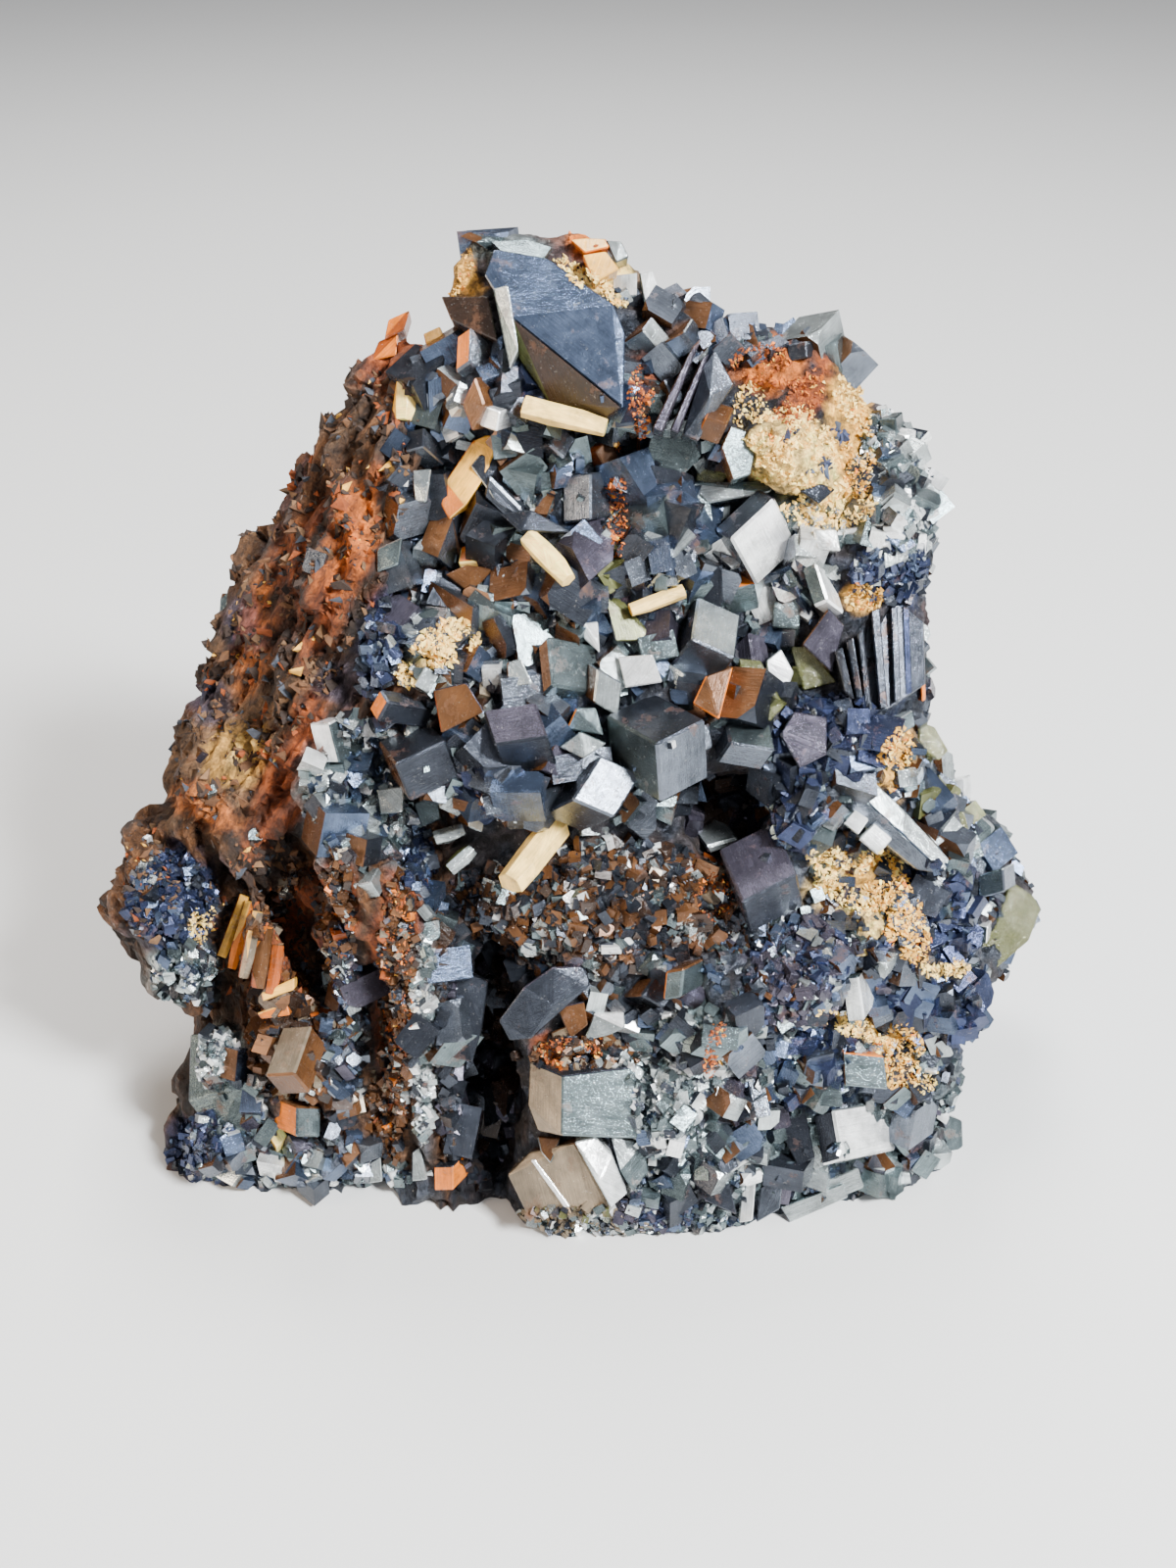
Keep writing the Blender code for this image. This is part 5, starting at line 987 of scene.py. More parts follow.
def fine_roughness(point):
    """The small relief: grains and blocks in front, slabs and cracks down the flank."""
    flank = share_past(GRAIN_EDGE - point.x, GRAIN_FADE)
    grain = grain_at(point)
    slabs = humps(grain, *FLAT_SLABS) + abs(humps(grain, *RIDGED_SLABS)) - SLAB_DROP
    from_crack = abs(noise.noise(grain / CRACK_SPACING + ASIDE)) / CRACK_WIDTH
    crack = -CRACK_DEPTH * max(0.0, 1.0 - from_crack)
    chips = noise.cell(CHIP_TURN @ point / CHIP_SPACING) * CHIP_RISE - CHIP_RISE / 2
    grains = humps(point, *COARSE_GRAINS) + humps(point, *FINE_GRAINS)
    return grains + flank * (slabs + crack) + (1.0 - flank) * chips


def put_in_scene(name, data):
    """A new object in the scene, made of that data."""
    made = bpy.data.objects.new(name, data)
    bpy.context.scene.collection.objects.link(made)
    return made


def mesh_object(name, shape):
    """An object in the scene holding a bmesh, which is freed."""
    mesh = bpy.data.meshes.new(name)
    shape.to_mesh(mesh)
    shape.free()
    return put_in_scene(name, mesh)


def bake(thing):
    """Replaces an object's mesh by what its modifiers make of it."""
    graph = bpy.context.evaluated_depsgraph_get()
    made = bpy.data.meshes.new_from_object(thing.evaluated_get(graph))
    thing.modifiers.clear()
    thing.data = made


def cut(thing, shape):
    """Cuts a bmesh from a thing."""
    cutter = mesh_object("cutter", shape)
    step = thing.modifiers.new("cut", "BOOLEAN")
    step.operation = "DIFFERENCE"
    step.object = cutter
    bake(thing)
    bpy.data.objects.remove(cutter)


def remesh(thing, voxel):
    """Makes one even skin round everything in the object."""
    step = thing.modifiers.new("skin", "REMESH")
    step.mode = "VOXEL"
    step.voxel_size = voxel
    bake(thing)


def cut_at_floor(shape):
    """Takes off what a bmesh has below the floor and closes it there."""
    geometry = shape.verts[:] + shape.edges[:] + shape.faces[:]
    made = bmesh.ops.bisect_plane(shape, geom=geometry, plane_co=(0, 0, 0),
                                  plane_no=(0, 0, 1), clear_inner=True)
    rim = [e for e in made["geom_cut"] if isinstance(e, bmesh.types.BMEdge)]
    bmesh.ops.holes_fill(shape, edges=rim)


def rows(collection, name):
    """A property of all of a mesh's points, as an array with a row for each."""
    values = np.empty(len(collection) * 3)
    collection.foreach_get(name, values)
    return values.reshape(-1, 3)


def push_out(thing, height):
    """Moves a thing's skin out along its normals, by the height there in millimetres."""
    vertices = thing.data.vertices
    points, normals = rows(vertices, "co"), rows(vertices, "normal")
    heights = np.array([height(Vector(point)) for point in points])
    vertices.foreach_set("co", (points + normals * heights[:, None]).ravel())


def make_rock():
    """The rock without its crystals, in millimetres."""
    forms = bmesh.new()
    add_hull(forms, [Vector(corner) for corner in ROCK_CORE])
    for back, *outline in BOULDERS.values():
        add_boulder(forms, back, outline)
    tree = BVHTree.FromBMesh(forms)
    for lump in LUMPS:
        add_lump(forms, tree, lump)
    rock = mesh_object("stained_rock", forms)
    remesh(rock, FORM_VOXEL)
    for front, back, *outline in HOLLOWS.values():
        sides = [on_sheet(x, y, towards) for x, y in outline for towards in (front, back)]
        cut(rock, hull(sides))
    remesh(rock, FORM_VOXEL)
    push_out(rock, roughness)
    remesh(rock, SKIN_VOXEL)
    push_out(rock, fine_roughness)
    shape = bmesh.new()
    shape.from_mesh(rock.data)
    cut_at_floor(shape)
    shape.to_mesh(rock.data)
    shape.free()
    return rock


def keep_in_box(points):
    """Moves points, an array of rows in millimetres, inside the CAD model's box."""
    low, high = (np.array(corner) / MM for corner in cad_box)
    return np.clip(points, low, high)


def blot(x, y, patch, warp):
    """How strongly a patch covers places on the sheet, with a ragged edge."""
    _, middle_x, middle_y, across, along, lean = patch[:6]
    turn = math.radians(lean)
    dx, dy = x - middle_x, y - middle_y
    u = (dx * math.cos(turn) + dy * math.sin(turn)) / across
    v = (dy * math.cos(turn) - dx * math.sin(turn)) / along
    return np.clip((STAIN_REACH - np.sqrt(u * u + v * v) + warp) / STAIN_FADE, 0.0, 1.0)


def cover(values, slope, start, most):
    """How much of a colour shows where a pattern has these values, as a column."""
    return np.clip(values * slope + start, 0.0, most)[:, None]


def paint_rock(rock):
    """Gives every point of the rock its colour and its place along the grain."""
    count = len(rock.data.vertices)
    points, normals = rows(rock.data.vertices, "co"), rows(rock.data.vertices, "normal")
    facing = cover(normals @ np.array(FORWARD), *FACING_COVER)
    places = [Vector(point) for point in points]
    x, y = np.array([seen_at(place) for place in places]).T
    grain = [grain_at(place) for place in places]
    warp = np.array([humps(g, *FINE_WARP) + humps(g, *BROAD_WARP) for g in grain])
    mottle = np.array([noise.noise(g / MOTTLE_SPACING + ASIDE) for g in grain])
    speckle = np.array([noise.noise(g / SPECKLE_SPACING + OTHER_ASIDE) for g in grain])
    broad = np.array([noise.noise(place / BACK_SPACING) for place in places])
    flank = np.clip((GRAIN_EDGE - points[:, 0]) / GRAIN_FADE, 0.0, 1.0)[:, None]
    rear = np.clip((points[:, 1] - REAR_EDGE) / FLANK_FADE, 0.0, 1.0)[:, None]

    def mix(under, name, share):
        return under * (1.0 - share) + np.array(COLOURS[name]) * share

    def plain(name):
        return np.tile(np.array(COLOURS[name]), (count, 1))

    share = cover(mottle, *MOTTLE_COVER)
    ragged = cover(warp, *EARTH_COVER)
    front = mix(plain("slate"), "umber", share * FRONT_UMBER)
    left = mix(mix(plain("brown"), "umber", share), "earth", ragged)
    back = mix(mix(plain("earth"), "slate", share), "brown", ragged)
    back = mix(back, "rust", cover(broad, *BACK_RUST_COVER))
    back = mix(back, "ochre", cover(broad, *BACK_OCHRE_COVER))
    tint = front * (1.0 - flank) + left * flank
    tint = tint * (1.0 - rear) + back * rear
    for stain in STAINS:
        strength = blot(x, y, stain, warp)[:, None] * facing * stain[6]
        tint = mix(tint, stain[0], strength)
    tint[:, :3] *= (1.0 + SPECKLE_STRENGTH * speckle + MOTTLE_STRENGTH * mottle)[:, None]
    layer = rock.data.color_attributes.new("tint", "FLOAT_COLOR", "POINT")
    layer.data.foreach_set("color", np.clip(tint, 0.0, 1.0).ravel())
    layer = rock.data.attributes.new("grain", "FLOAT_VECTOR", "POINT")
    layer.data.foreach_set("vector", np.array(grain).ravel())


class Crystals:
    """Flat-faced solids gathered into one mesh, each face with its colour and its own grain."""

    def __init__(self, seed):
        self.dice = random.Random(seed)
        self.points = []
        self.faces = []
        self.tints = []
        self.grain = []

    def add(self, shape, words):
        """Takes over a bmesh, whose faces get their colours from the three words."""
        start = len(self.points)
        shape.verts.index_update()
        self.points.extend(v.co.copy() for v in shape.verts)
        shade = self.dice.uniform(*SHADES)
        for face in shape.faces:
            normal = face.normal
            word = words[0]
            # Faces that look left take the second colour, mostly painted warm light from the left with
            # some iron film; faces that look up take the third.
            if normal.x < LOOKS_LEFT:
                word = words[1]
            elif normal.z > LOOKS_UP:
                word = words[2]
            own = shade * self.dice.uniform(*FACE_SHADES)
            red, green, blue, metal = COLOURS[word]
            corners = [v.co for v in face.verts]
            edge = max((b - a for a, b in zip(corners, corners[1:])), key=lambda e: e.length)
            along = edge.normalized()
            across = normal.cross(along)
            spot = self.dice.uniform(0.0, PATTERN_REACH)
            self.faces.append([start + v.index for v in face.verts])
            middle = face.calc_center_median()
            # A painted sheen: each face is lighter to one side and darker to the other, as a soft
            # reflection falls.
            sway = self.dice.uniform(-SHEEN_SWAY, SHEEN_SWAY)
            for corner in corners:
                painted_sheen = sway * (corner - middle).dot(across) / edge.length
                tone = own * max(LEAST_TONE, 1.0 + painted_sheen)
                self.tints.append((red * tone, green * tone, blue * tone, metal))
            self.grain.append([(c.dot(along) + spot, c.dot(across) + spot) for c in corners])
        shape.free()

    def make(self, name, material):
        """The finished object, in metres."""
        points = keep_in_box(np.array(self.points)) * MM
        mesh = bpy.data.meshes.new(name)
        mesh.from_pydata(points.tolist(), [], self.faces)
        tint = mesh.color_attributes.new("tint", "FLOAT_COLOR", "CORNER")
        tint.data.foreach_set("color", np.clip(np.array(self.tints), 0.0, 1.0).ravel())
        grain = mesh.uv_layers.new(name="grain")
        places = np.array([spot for face in self.grain for spot in face])
        grain.data.foreach_set("uv", places.ravel())
        mesh.materials.append(material)
        made = put_in_scene(name, mesh)
        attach(made, "root")
        return made


def in_order(shape):
    """The same bmesh, with its faces and their first corners in an order fixed by its points.

    A bevel leaves that order to chance, and the faces' shades are drawn in it."""
    shape.verts.index_update()
    rings = []
    for face in shape.faces:
        ring = [v.index for v in face.verts]
        first = ring.index(min(ring))
        rings.append(ring[first:] + ring[:first])
    made = bmesh.new()
    points = [made.verts.new(v.co) for v in shape.verts]
    for ring in sorted(rings):
        made.faces.new([points[index] for index in ring])
    shape.free()
    return made


def faceted(corners, bevel):
    """A convex crystal with its flat faces whole and its edges broken by a narrow facet."""
    shape = hull(corners)
    bmesh.ops.dissolve_limit(shape, angle_limit=FLAT_ANGLE, verts=shape.verts,
                             edges=shape.edges)
    if bevel:
        bmesh.ops.bevel(shape, geom=shape.edges[:], offset=bevel, segments=1, affect="EDGES")
        shape = in_order(shape)
    if min(v.co.z for v in shape.verts) < 0.0:
        cut_at_floor(shape)
    shape.normal_update()
    return shape


def block_corners(tree, lift, near, *ends):
    """The eight corners of a block drawn by its nearest corner and its three edges' ends.

    Square corners fix how far each edge runs away from the eye: the slopes of two edges
    multiply to minus the cosine of the angle between them on the sheet."""
    near = Vector(near)
    edges = [Vector(end) - near for end in ends]
    spread = [max(LEAST_SPREAD, -edges[i].normalized().dot(edges[j].normalized()))
              for i, j in ((1, 2), (0, 2), (0, 1))]
    whole = spread[0] * spread[1] * spread[2]
    slopes = [min(STEEPEST, math.sqrt(whole) / share) for share in spread]
    reach = sum(edge.length * slope for edge, slope in zip(edges, slopes))
    middle = near + sum(edges, Vector((0.0, 0.0))) / 2
    depth = rock_depth(tree, *middle)
    scale = depth / EYE_TO_SHEET
    start = on_sheet(*near, EYE_TO_SHEET - depth + BLOCK_SHARE_OUT * reach * scale + lift)
    steps = [(RIGHT * edge.x - UP * edge.y + FORWARD * edge.length * slope) * scale
             for edge, slope in zip(edges, slopes)]
    return [start + steps[0] * i + steps[1] * j + steps[2] * k
            for i in (0, 1) for j in (0, 1) for k in (0, 1)]


def slab_corners(tree, thickness, face):
    """A plate's corners: its face standing out of the rock, and its smaller back inside it."""
    middle = [sum(corner[i] for corner in face) / len(face) for i in (0, 1)]
    depth = rock_depth(tree, *middle)
    front = [on_sheet(x, y, EYE_TO_SHEET - depth + proud) for x, y, proud in face]
    inner = centre_of(front) + FORWARD * thickness
    return front + [inner + (corner - centre_of(front)) * SLAB_TAPER for corner in front]


def prism_corners(dice, tree, width, start, end):
    """A six-sided prism between two ends that stand out of the rock."""
    ends = []
    for x, y, proud in (start, end):
        depth = rock_depth(tree, x, y)
        ends.append(EYE_TO_SHEET - depth + proud)
    level = max(ends) if start[2] == end[2] else ends[0]
    foot = on_sheet(start[0], start[1], level)
    tip = on_sheet(end[0], end[1], level + end[2] - start[2])
    along = (tip - foot).normalized()
    side = along.cross(FORWARD).normalized()
    other = along.cross(side)
    ring = [side * math.cos(turn) + other * math.sin(turn)
            for turn in (math.radians(360 / PRISM_SIDES * i + PRISM_TURN)
                         for i in range(PRISM_SIDES))]
    radius = width / 2
    return ([foot + spoke * radius * dice.uniform(*PRISM_SPREAD) for spoke in ring]
            + [tip + spoke * radius * PRISM_TAPER * dice.uniform(*PRISM_SPREAD) for spoke in ring]
            + [foot.lerp(tip, share) + spoke * radius * dice.uniform(*PRISM_SPREAD)
               for share in PRISM_RINGS for spoke in ring])


def any_turn(dice):
    """A random rotation."""
    return Euler([dice.uniform(0.0, math.tau) for _ in range(3)]).to_matrix()


def box_corners(dice, place, turn, sides):
    """A box's corners, leaned over and turned, some of them cut off by a small facet."""
    shear = Matrix.Identity(3)
    shear[0][1] = dice.uniform(-MOST_SHEAR, MOST_SHEAR)
    turn = turn @ shear
    corners = []
    for i in (-1, 1):
        for j in (-1, 1):
            for k in (-1, 1):
                signs = (i, j, k)
                corner = Vector([s * side / 2 for s, side in zip(signs, sides)])
                if min(sides) < LEAST_CUT or dice.random() > CUT_SHARE:
                    corners.append(place + turn @ corner)
                    continue
                depth = min(sides) * dice.uniform(*CUT_DEPTHS)
                for axis in range(3):
                    moved = corner.copy()
                    moved[axis] -= signs[axis] * depth
                    corners.append(place + turn @ moved)
    return corners


def weighted(dice, shares):
    """One of the words, drawn as often as its share says."""
    return dice.choices(list(shares), weights=list(shares.values()))[0]


def spot_in(dice, patch):
    """A random place on the sheet inside a patch."""
    _, x, y, across, along, lean = patch[:6]
    turn, reach = dice.uniform(0.0, math.tau), math.sqrt(dice.random())
    u, v = across * reach * math.cos(turn), along * reach * math.sin(turn)
    lean = math.radians(lean)
    return x + u * math.cos(lean) - v * math.sin(lean), y + u * math.sin(lean) + v * math.cos(lean)


def resting_depth(dice, under, big, x, y, width):
    """How far from the eye something small can grow at x, y on the sheet, if it can at all.

    It keeps clear of the big crystals, but for a few tiny ones that grow on their faces."""
    hits = [first_hit(tree, x, y) for tree in under]
    if hits[0] is None:
        return None
    depth = min(hit for hit in hits if hit is not None)
    covered = first_hit(big, x, y)
    if covered is not None and covered < depth:
        overgrown = any(((x - u) / across) ** 2 + ((y - v) / along) ** 2 < 1.0
                        for u, v, across, along in OVERGROWN)
        rides = width < RIDER_WIDTH and (overgrown or dice.random() < RIDER_SHARE)
        return covered if rides else None
    reach = width * CLEARANCE
    for u, v in ((reach, 0.0), (-reach, 0.0), (0.0, reach), (0.0, -reach)):
        nearer = first_hit(big, x + u, y + v)
        if nearer is not None and depth - width * POKES_THROUGH < nearer < depth:
            return None
    return depth


def grow(crystals, under, big, growth):
    """A patch of small crystals on the front, sunk by about half."""
    dice = crystals.dice
    kind, count, least, most = growth[0], *growth[6:]
    shares, left = KINDS[kind]
    for _ in range(count):
        x, y = spot_in(dice, growth)
        width = least + (most - least) * dice.random() ** SIZE_BIAS
        depth = resting_depth(dice, under, big, x, y, width)
        if depth is None:
            continue
        sides = [width * dice.uniform(*SIDE_SPREAD) for _ in range(3)]
        place = on_sheet(x, y, EYE_TO_SHEET - depth + width * dice.uniform(*GROWTH_RISE))
        if place.z < LEAST_GROWTH_HEIGHT * width:
            continue
        word = weighted(dice, shares)
        # Some take the kind's side colour on faces that look left: painted light on that side.
        words = (word, left if dice.random() < LEFT_SHARE else word, word)
        corners = box_corners(dice, place, any_turn(dice), sides)
        crystals.add(faceted(corners, 0.0), words)


def make_small_crystals(name, growths, tree, big, material):
    """Crystals that fill the front between the big ones; what comes back is for rays."""
    crystals = Crystals(GROWTH_SEED)
    for growth in growths:
        grow(crystals, [tree], big, growth)
    crystals.make(name, material)
    return BVHTree.FromPolygons(crystals.points, crystals.faces)


def make_big_crystals(tree, material):
    """The crystals that are placed one by one; what comes back is what rays can hit."""
    crystals = Crystals(BIG_SEED)
    for words, *row in BLOCKS:
        corners = block_corners(tree, *row)
        bevel = BLOCK_BEVEL * (corners[0] - corners[-1]).length
        crystals.add(faceted(corners, min(bevel, MOST_BEVEL)), words.split())
    for words, thickness, *face in SLABS:
        crystals.add(faceted(slab_corners(tree, thickness, face), SLAB_BEVEL), words.split())
    for words, *row in PRISMS:
        corners = prism_corners(crystals.dice, tree, *row)
        crystals.add(faceted(corners, PRISM_BEVEL), words.split())
    crystals.make("big_crystals", material)
    return BVHTree.FromPolygons(crystals.points, crystals.faces)


def make_glassy_crystals(tree, material):
    """The clear yellow-green crystals."""
    crystals = Crystals(GLASSY_SEED)
    for thickness, *face in GLASSY_SLABS:
        corners = slab_corners(tree, thickness, face)
        crystals.add(faceted(corners, GLASSY_BEVEL), ("olive",) * 3)
    return crystals.make("glassy_crystals", material)


def make_crusts(under, big, material):
    """Powdery cream, ochre and rust crumbs, and the flank's small fragments."""
    crumbs = Crystals(CRUST_SEED)
    dice = crumbs.dice
    for crust in CRUSTS:
        shares, left = KINDS[crust[0]]
        count, least, most = crust[6:]
        for _ in range(count):
            x, y = spot_in(dice, crust)
            if noise.noise(Vector((x, y, 0.0)) / RAGGED) < RAGGED_CUT:
                continue
            width = least + (most - least) * dice.random() ** CRUMB_BIAS
            depth = resting_depth(dice, under, big, x, y, width)
            if depth is None:
                continue
            place = on_sheet(x, y, EYE_TO_SHEET - depth + width * dice.uniform(*CRUMB_RISE))
            corners = [place + Vector([dice.gauss(0.0, width * CRUMB_SPREAD) for _ in range(3)])
                       for _ in range(CRUMB_POINTS)]
            word = weighted(dice, shares)
            # Faces that look left take the kind's side colour: painted light on that side.
            crumbs.add(faceted(corners, 0.0), (word, left, word))
    return crumbs.make("ochre_crumbs", material)


def hidden(face):
    """Whether a face of the rock is on the back or the right side."""
    away = face.normal.dot(FORWARD)
    behind = away > BACK_AWAY and face.center.y > REAR_EDGE
    return behind or (away > SIDE_AWAY and face.normal.x > SIDE_RIGHT)


def make_far_crystals(rock, material):
    """Crystals on the back and the right side, which the sheet doesn't show."""
    crystals = Crystals(FAR_SEED)
    dice = crystals.dice
    faces = [f for f in rock.data.polygons if f.center.z > LEAST_FAR_HEIGHT and hidden(f)]
    for face in dice.sample(faces, FAR_TRIES):
        if noise.noise(face.center / FAR_CLUSTER) < FAR_CUT:
            continue
        least, most = FAR_WIDTHS if abs(face.center.x) < REAR_SIDES else SIDE_WIDTHS
        width = least + (most - least) * dice.random() ** FAR_BIAS
        sides = [width * dice.uniform(*FAR_SPREAD) for _ in range(3)]
        word = weighted(dice, KINDS["steel"][0])
        corners = box_corners(dice, face.center.copy(), any_turn(dice), sides)
        # Faces that look left are brown: painted warm light from the left.
        crystals.add(faceted(corners, 0.0), (word, "brown", word))
    return crystals.make("rear_crystals", material)


class Nodes:
    """A new material's node tree, with short calls to add nodes and join them."""

    def __init__(self, name):
        self.material = bpy.data.materials.new(name)
        self.material.use_nodes = True
        self.tree = self.material.node_tree
        self.shader = self.tree.nodes["Principled BSDF"]

    def add(self, kind, inputs=None, **settings):
        """A new node with its properties set and its sockets filled."""
        node = self.tree.nodes.new(kind)
        for key, value in settings.items():
            setattr(node, key, value)
        for key, value in (inputs or {}).items():
            self.put(node.inputs[key], value)
        return node

    def put(self, socket, value):
        """Sets a socket, or joins another node's output to it."""
        if isinstance(value, bpy.types.NodeSocket):
            self.tree.links.new(value, socket)
        else:
            socket.default_value = value

    def noise(self, vector, scale, detail, rough=0.7):
        """Noise read at a vector, with so many finer layers."""
        inputs = {"Scale": scale, "Detail": detail, "Roughness": rough, "Vector": vector}
        return self.add("ShaderNodeTexNoise", inputs).outputs["Fac"]

    def ramp(self, value, *stops):
        """A colour ramp through (place, grey or colour) stops."""
        node = self.add("ShaderNodeValToRGB", {"Fac": value})
        elements = node.color_ramp.elements
        while len(elements) < len(stops):
            elements.new(0.5)
        for element, (place, colour) in zip(elements, stops):
            element.position = place
            tone = (colour,) * 3 if isinstance(colour, (int, float)) else colour
            element.color = (*tone, 1.0)
        return node.outputs["Color"]

    def mix(self, share, first, second, blend="MIX"):
        """Two colours mixed, with that share of the second."""
        node = self.add("ShaderNodeMix", data_type="RGBA", blend_type=blend)
        self.put(node.inputs[0], share)
        self.put(node.inputs[6], first)
        self.put(node.inputs[7], second)
        return node.outputs[2]

    def times(self, first, second):
        """Two colours multiplied."""
        return self.mix(1.0, first, second, "MULTIPLY")

    def math(self, operation, first, second):
        """Two numbers combined."""
        node = self.add("ShaderNodeMath", operation=operation)
        self.put(node.inputs[0], first)
        self.put(node.inputs[1], second)
        return node.outputs[0]

    def bump(self, height, distance, under=None):
        """Relief of that height in metres, on top of the relief under it."""
        node = self.add("ShaderNodeBump", {"Height": height, "Distance": distance})
        if under is not None:
            self.put(node.inputs["Normal"], under)
        return node.outputs["Normal"]

    def tint(self):
        """The colour painted on the mesh, with how metallic it is as its alpha."""
        return self.add("ShaderNodeVertexColor", layer_name="tint").outputs

    def place(self):
        """The place on the object, in metres."""
        return self.add("ShaderNodeTexCoord").outputs["Object"]

    def finish(self, **values):
        """The material, once the shader's sockets are filled."""
        for key, value in values.items():
            self.put(self.shader.inputs[key.replace("_", " ")], value)
        return self.material


# Thin films and small bright spots on the crystals and the rock: red, green, blue and alpha. The
# bright spots are painted glints: sparkle on the crystals and glints in the rock.
RUST_FILM = (0.12, 0.048, 0.020, 1.0)
DUST_FILM = (0.30, 0.28, 0.25, 1.0)
SPARKLE = (0.80, 0.84, 0.84, 1.0)
GLINT = (0.5, 0.5, 0.48, 1.0)

# How far the growth lines on a crystal are drawn out along its longest edge, and packed across
LINE_STRETCH = (0.30, 6.0, 1.0)


def crystal_material():
    """Steel-grey crystal faces: fine growth lines, pits, dust and a soft metal shine."""
    n = Nodes("steel_crystal")
    least_rough, rough_spread, film_rough = 0.06, 0.32, 0.35
    tint = n.tint()
    place = n.place()
    grain = n.add("ShaderNodeUVMap", uv_map="grain").outputs["UV"]
    stretch = n.add("ShaderNodeMapping", {"Vector": grain, "Scale": LINE_STRETCH})
    lines = n.noise(stretch.outputs["Vector"], scale=1.0, detail=5.0)
    clouds = n.noise(place, scale=420.0, detail=5.0, rough=0.6)
    pits = n.noise(place, scale=3600.0, detail=3.0)
    colour = n.times(tint["Color"], n.ramp(clouds, (0.3, 0.60), (0.5, 1.0), (0.72, 1.4)))
    colour = n.times(colour, n.ramp(lines, (0.35, 0.80), (0.65, 1.20)))
    dust = n.noise(place, scale=1500.0, detail=6.0, rough=0.75)
    dust = n.ramp(dust, (0.62, 0.0), (0.72, 0.5))
    rust = n.ramp(n.noise(place, scale=300.0, detail=7.0), (0.58, 0.0), (0.70, 0.75))
    colour = n.mix(rust, colour, RUST_FILM)
    colour = n.mix(dust, colour, DUST_FILM)
    # Tiny near-white spots: painted sparkle on the faces.
    sparkles = n.noise(place, scale=9000.0, detail=2.0, rough=0.6)
    colour = n.mix(n.ramp(sparkles, (0.70, 0.0), (0.75, 0.6)), colour, SPARKLE)
    film = n.math("MAXIMUM", dust, rust)
    metal = n.math("MULTIPLY", tint["Alpha"], n.math("SUBTRACT", 1.0, film))
    rough = n.noise(place, scale=900.0, detail=5.0, rough=0.55)
    rough = n.math("ADD", n.math("MULTIPLY", rough, rough_spread), least_rough)
    rough = n.math("ADD", rough, n.math("MULTIPLY", film, film_rough))
    shape = n.bump(lines, 0.00005)
    shape = n.bump(pits, 0.00002, shape)
    shape = n.bump(clouds, 0.00010, shape)
    return n.finish(Base_Color=colour, Metallic=metal, Roughness=rough, Normal=shape)


def rock_material():
    """The rock: grainy, cracked and stained, with tiny crystal faces in it whose glints are painted in
    as bright spots.
    """
    n = Nodes("stained_rock")
    most_rough, metal_shine, glint_shine = 0.80, 0.5, 0.25
    tint = n.tint()
    grain = n.add("ShaderNodeAttribute", attribute_name="grain").outputs["Vector"]
    place = n.place()
    clouds = n.noise(grain, scale=0.8, detail=7.0)
    lumps = n.noise(place, scale=1100.0, detail=5.0)
    grains = n.add("ShaderNodeTexVoronoi", {"Vector": grain, "Scale": 1.6})
    fine = n.noise(grain, scale=4.0, detail=4.0)
    colour = n.times(tint["Color"], n.ramp(clouds, (0.32, 0.30), (0.5, 1.0), (0.68, 2.0)))
    colour = n.times(colour, n.ramp(lumps, (0.34, 0.35), (0.5, 1.0), (0.68, 1.6)))
    # Bright spots where the rock is metallic: painted glints, also made less rough below.
    glint = n.ramp(n.noise(grain, scale=3.0, detail=1.0, rough=0.55), (0.70, 0.0), (0.73, 0.6))
    colour = n.mix(n.math("MULTIPLY", glint, tint["Alpha"]), colour, GLINT)
    rough = n.math("SUBTRACT", most_rough, n.math("MULTIPLY", tint["Alpha"], metal_shine))
    rough = n.math("SUBTRACT", rough, n.math("MULTIPLY", glint, glint_shine))
    shape = n.bump(grains.outputs["Distance"], 0.00025)
    shape = n.bump(fine, 0.00015, shape)
    shape = n.bump(lumps, 0.00090, shape)
    shape = n.bump(clouds, 0.00090, shape)
    return n.finish(Base_Color=colour, Metallic=tint["Alpha"], Roughness=rough, Normal=shape)


def crumb_material():
    """Dull, powdery iron ochre."""
    n = Nodes("iron_ochre")
    tint = n.tint()
    place = n.place()
    tone = n.ramp(n.noise(place, scale=1200.0, detail=5.0), (0.3, 0.75), (0.7, 1.35))
    colour = n.times(tint["Color"], tone)
    shape = n.bump(n.noise(place, scale=4000.0, detail=4.0), 0.00015)
    return n.finish(Base_Color=colour, Roughness=0.85, Normal=shape)


def glassy_material():
    """Clear yellow-green crystal."""
    n = Nodes("yellow_green_crystal")
    place = n.place()
    veils = n.ramp(n.noise(place, scale=500.0, detail=5.0), (0.35, (0.34, 0.36, 0.05)),
                   (0.7, (0.66, 0.68, 0.30)))
    shape = n.bump(n.noise(place, scale=900.0, detail=5.0), 0.0003)
    return n.finish(Base_Color=veils, Roughness=0.14, IOR=1.6, Transmission_Weight=0.85,
                    Normal=shape)


# The studio, in metres: the floor's half width, and each light's name, place, power in watts,
# width and colour
FLOOR_REACH = 3.0
LIGHTS = (
    ("key", (0.30, -0.26, 0.42), 12.0, 0.10, (0.95, 0.98, 1.0)),
    ("fill", (-0.45, -0.15, 0.20), 2.0, 0.20, (1.0, 0.80, 0.60)),
    ("top", (-0.05, 0.30, 0.60), 5.0, 0.25, (1.0, 1.0, 1.0)),
)

# The sky: where it is brightest, its greys from far off that place to near it, and its blue
SKY_TOWARDS = Vector((0.45, -0.35, 0.82)).normalized()
SKY_GREYS = ((0.1, 0.05), (0.95, 0.85))
SKY_BLUE = 1.04

# The camera: its lens and film width in millimetres, and the nearest it sees in metres
LENS, FILM_WIDTH = 35.0, 36.0
NEAREST = 0.01


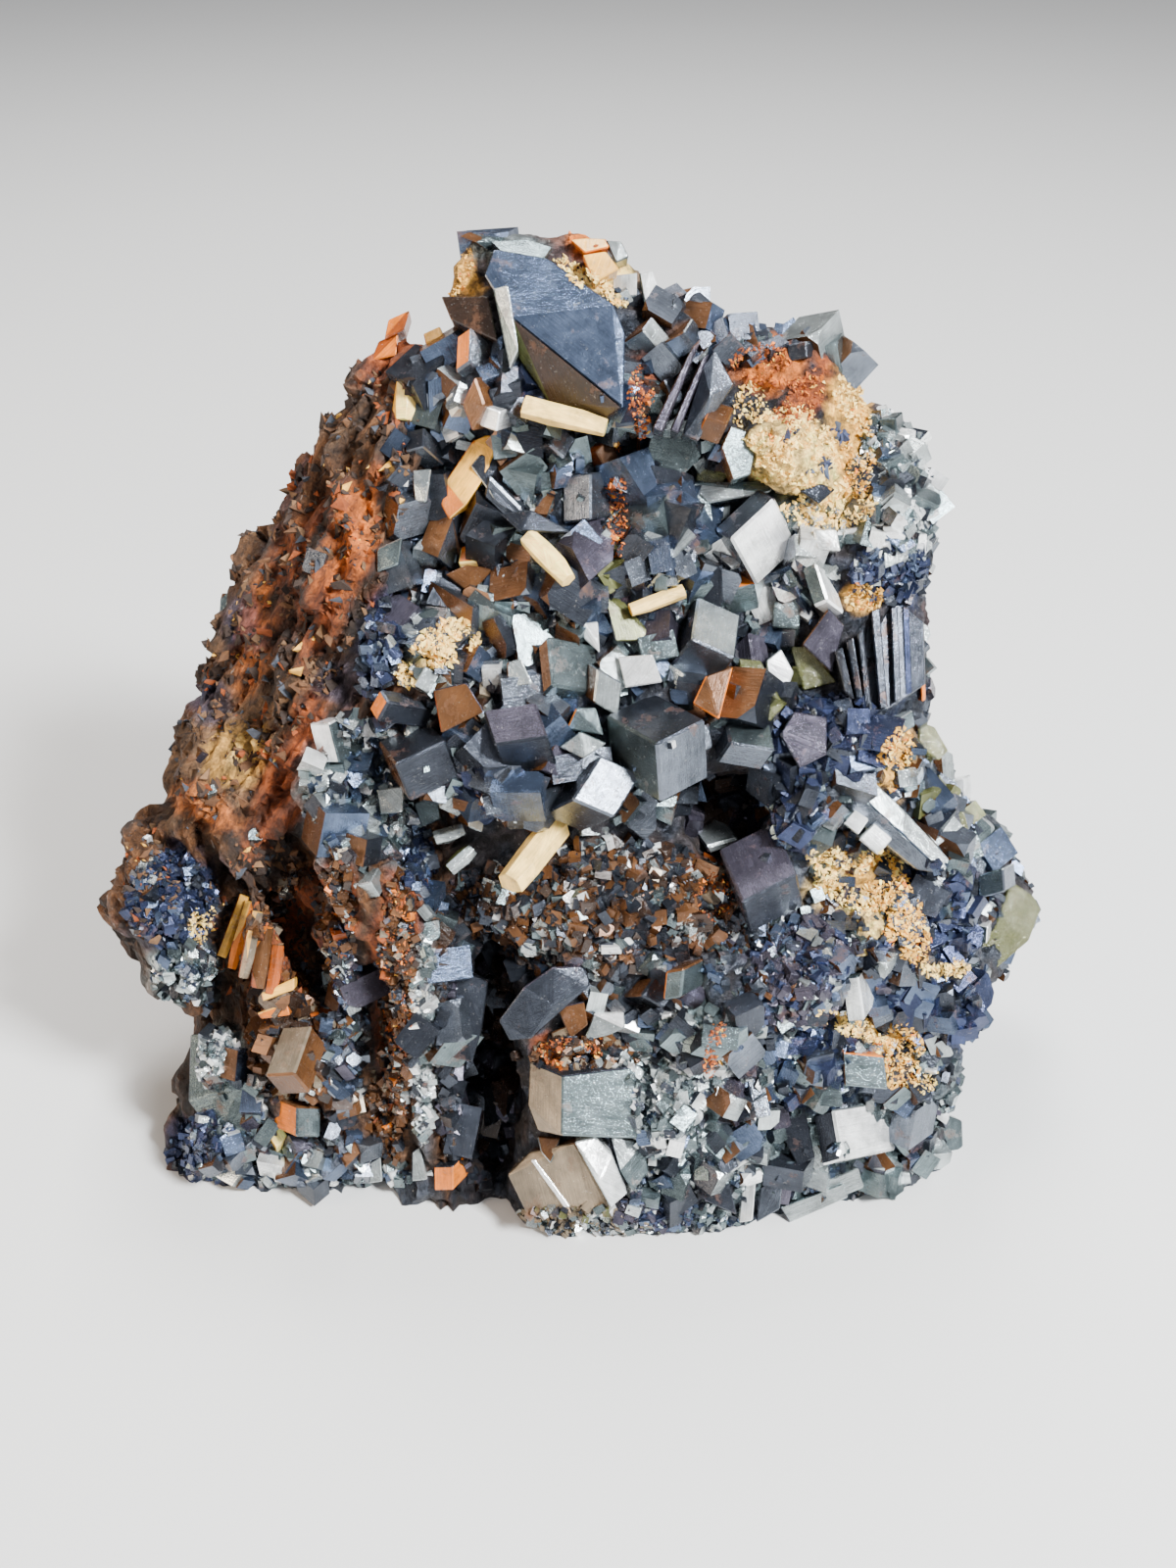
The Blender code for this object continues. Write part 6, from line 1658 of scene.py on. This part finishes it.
def floor_material():
    """A plain pale surface."""
    n = Nodes("pale_floor")
    return n.finish(Base_Color=(0.62, 0.62, 0.61, 1.0), Roughness=0.7)


def make_floor():
    """The surface that the specimen stands on."""
    mesh = bpy.data.meshes.new("floor")
    corners = [(x * FLOOR_REACH, y * FLOOR_REACH, 0)
               for x, y in ((-1, -1), (1, -1), (1, 1), (-1, 1))]
    mesh.from_pydata(corners, [], [(0, 1, 2, 3)])
    mesh.materials.append(floor_material())
    floor = put_in_scene("floor", mesh)


def add_light(name, place, power, size, colour):
    """A soft square light that looks at the specimen."""
    data = bpy.data.lights.new(name, "AREA")
    data.energy, data.size, data.color = power, size, colour
    light = put_in_scene(name, data)
    light.location = place
    light.rotation_euler = (SHEET_MIDDLE * MM - Vector(place)).to_track_quat("-Z", "Y").to_euler()


def make_sky():
    """A soft grey sky, bright above and to the right."""
    world = bpy.data.worlds.new("studio")
    world.use_nodes = True
    tree = world.node_tree
    look = tree.nodes.new("ShaderNodeTexCoord")
    towards = tree.nodes.new("ShaderNodeVectorMath")
    towards.operation = "DOT_PRODUCT"
    towards.inputs[1].default_value = SKY_TOWARDS
    ramp = tree.nodes.new("ShaderNodeValToRGB")
    for element, (place, grey) in zip(ramp.color_ramp.elements, SKY_GREYS):
        element.position = place
        element.color = (grey, grey, grey * SKY_BLUE, 1.0)
    tree.links.new(look.outputs["Generated"], towards.inputs[0])
    tree.links.new(towards.outputs["Value"], ramp.inputs["Fac"])
    tree.links.new(ramp.outputs["Color"], tree.nodes["Background"].inputs["Color"])
    bpy.context.scene.world = world


def make_camera():
    """The camera, where the photograph was taken from."""
    data = bpy.data.cameras.new("camera")
    data.lens = LENS
    data.sensor_width = FILM_WIDTH
    data.clip_start = NEAREST
    camera = put_in_scene("camera", data)
    camera.location = EYE * MM
    camera.rotation_euler = FORWARD.to_track_quat("-Z", "Y").to_euler()
    bpy.context.scene.camera = camera


def dress_rock(rock):
    """Scales the rock to metres inside the box, and lets it stand for the solid."""
    points = keep_in_box(rows(rock.data.vertices, "co")) * MM
    rock.data.vertices.foreach_set("co", points.ravel())
    rock.data.materials.clear()
    rock.data.materials.append(rock_material())
    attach(rock, "root")
    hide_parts(SPECIMEN)


def main():
    """Makes the specimen and the studio round it."""
    rock = make_rock()
    paint_rock(rock)
    tree = BVHTree.FromObject(rock, bpy.context.evaluated_depsgraph_get())
    crystal = crystal_material()
    big = make_big_crystals(tree, crystal)
    small = make_small_crystals("small_crystals", GROWTHS, tree, big, crystal)
    dull = [growth for growth in DRUSE if growth[0] in DULL_KINDS]
    bright = [growth for growth in DRUSE if growth[0] not in DULL_KINDS]
    dull_druse = make_small_crystals("dull_druse", dull, tree, big, crystal)
    bright_druse = make_small_crystals("bright_druse", bright, tree, big, crystal)
    make_far_crystals(rock, crystal)
    make_crusts([tree, small, dull_druse, bright_druse], big, crumb_material())
    make_glassy_crystals(tree, glassy_material())
    dress_rock(rock)
    make_floor()
    for light in LIGHTS:
        add_light(*light)
    make_sky()
    make_camera()


main()
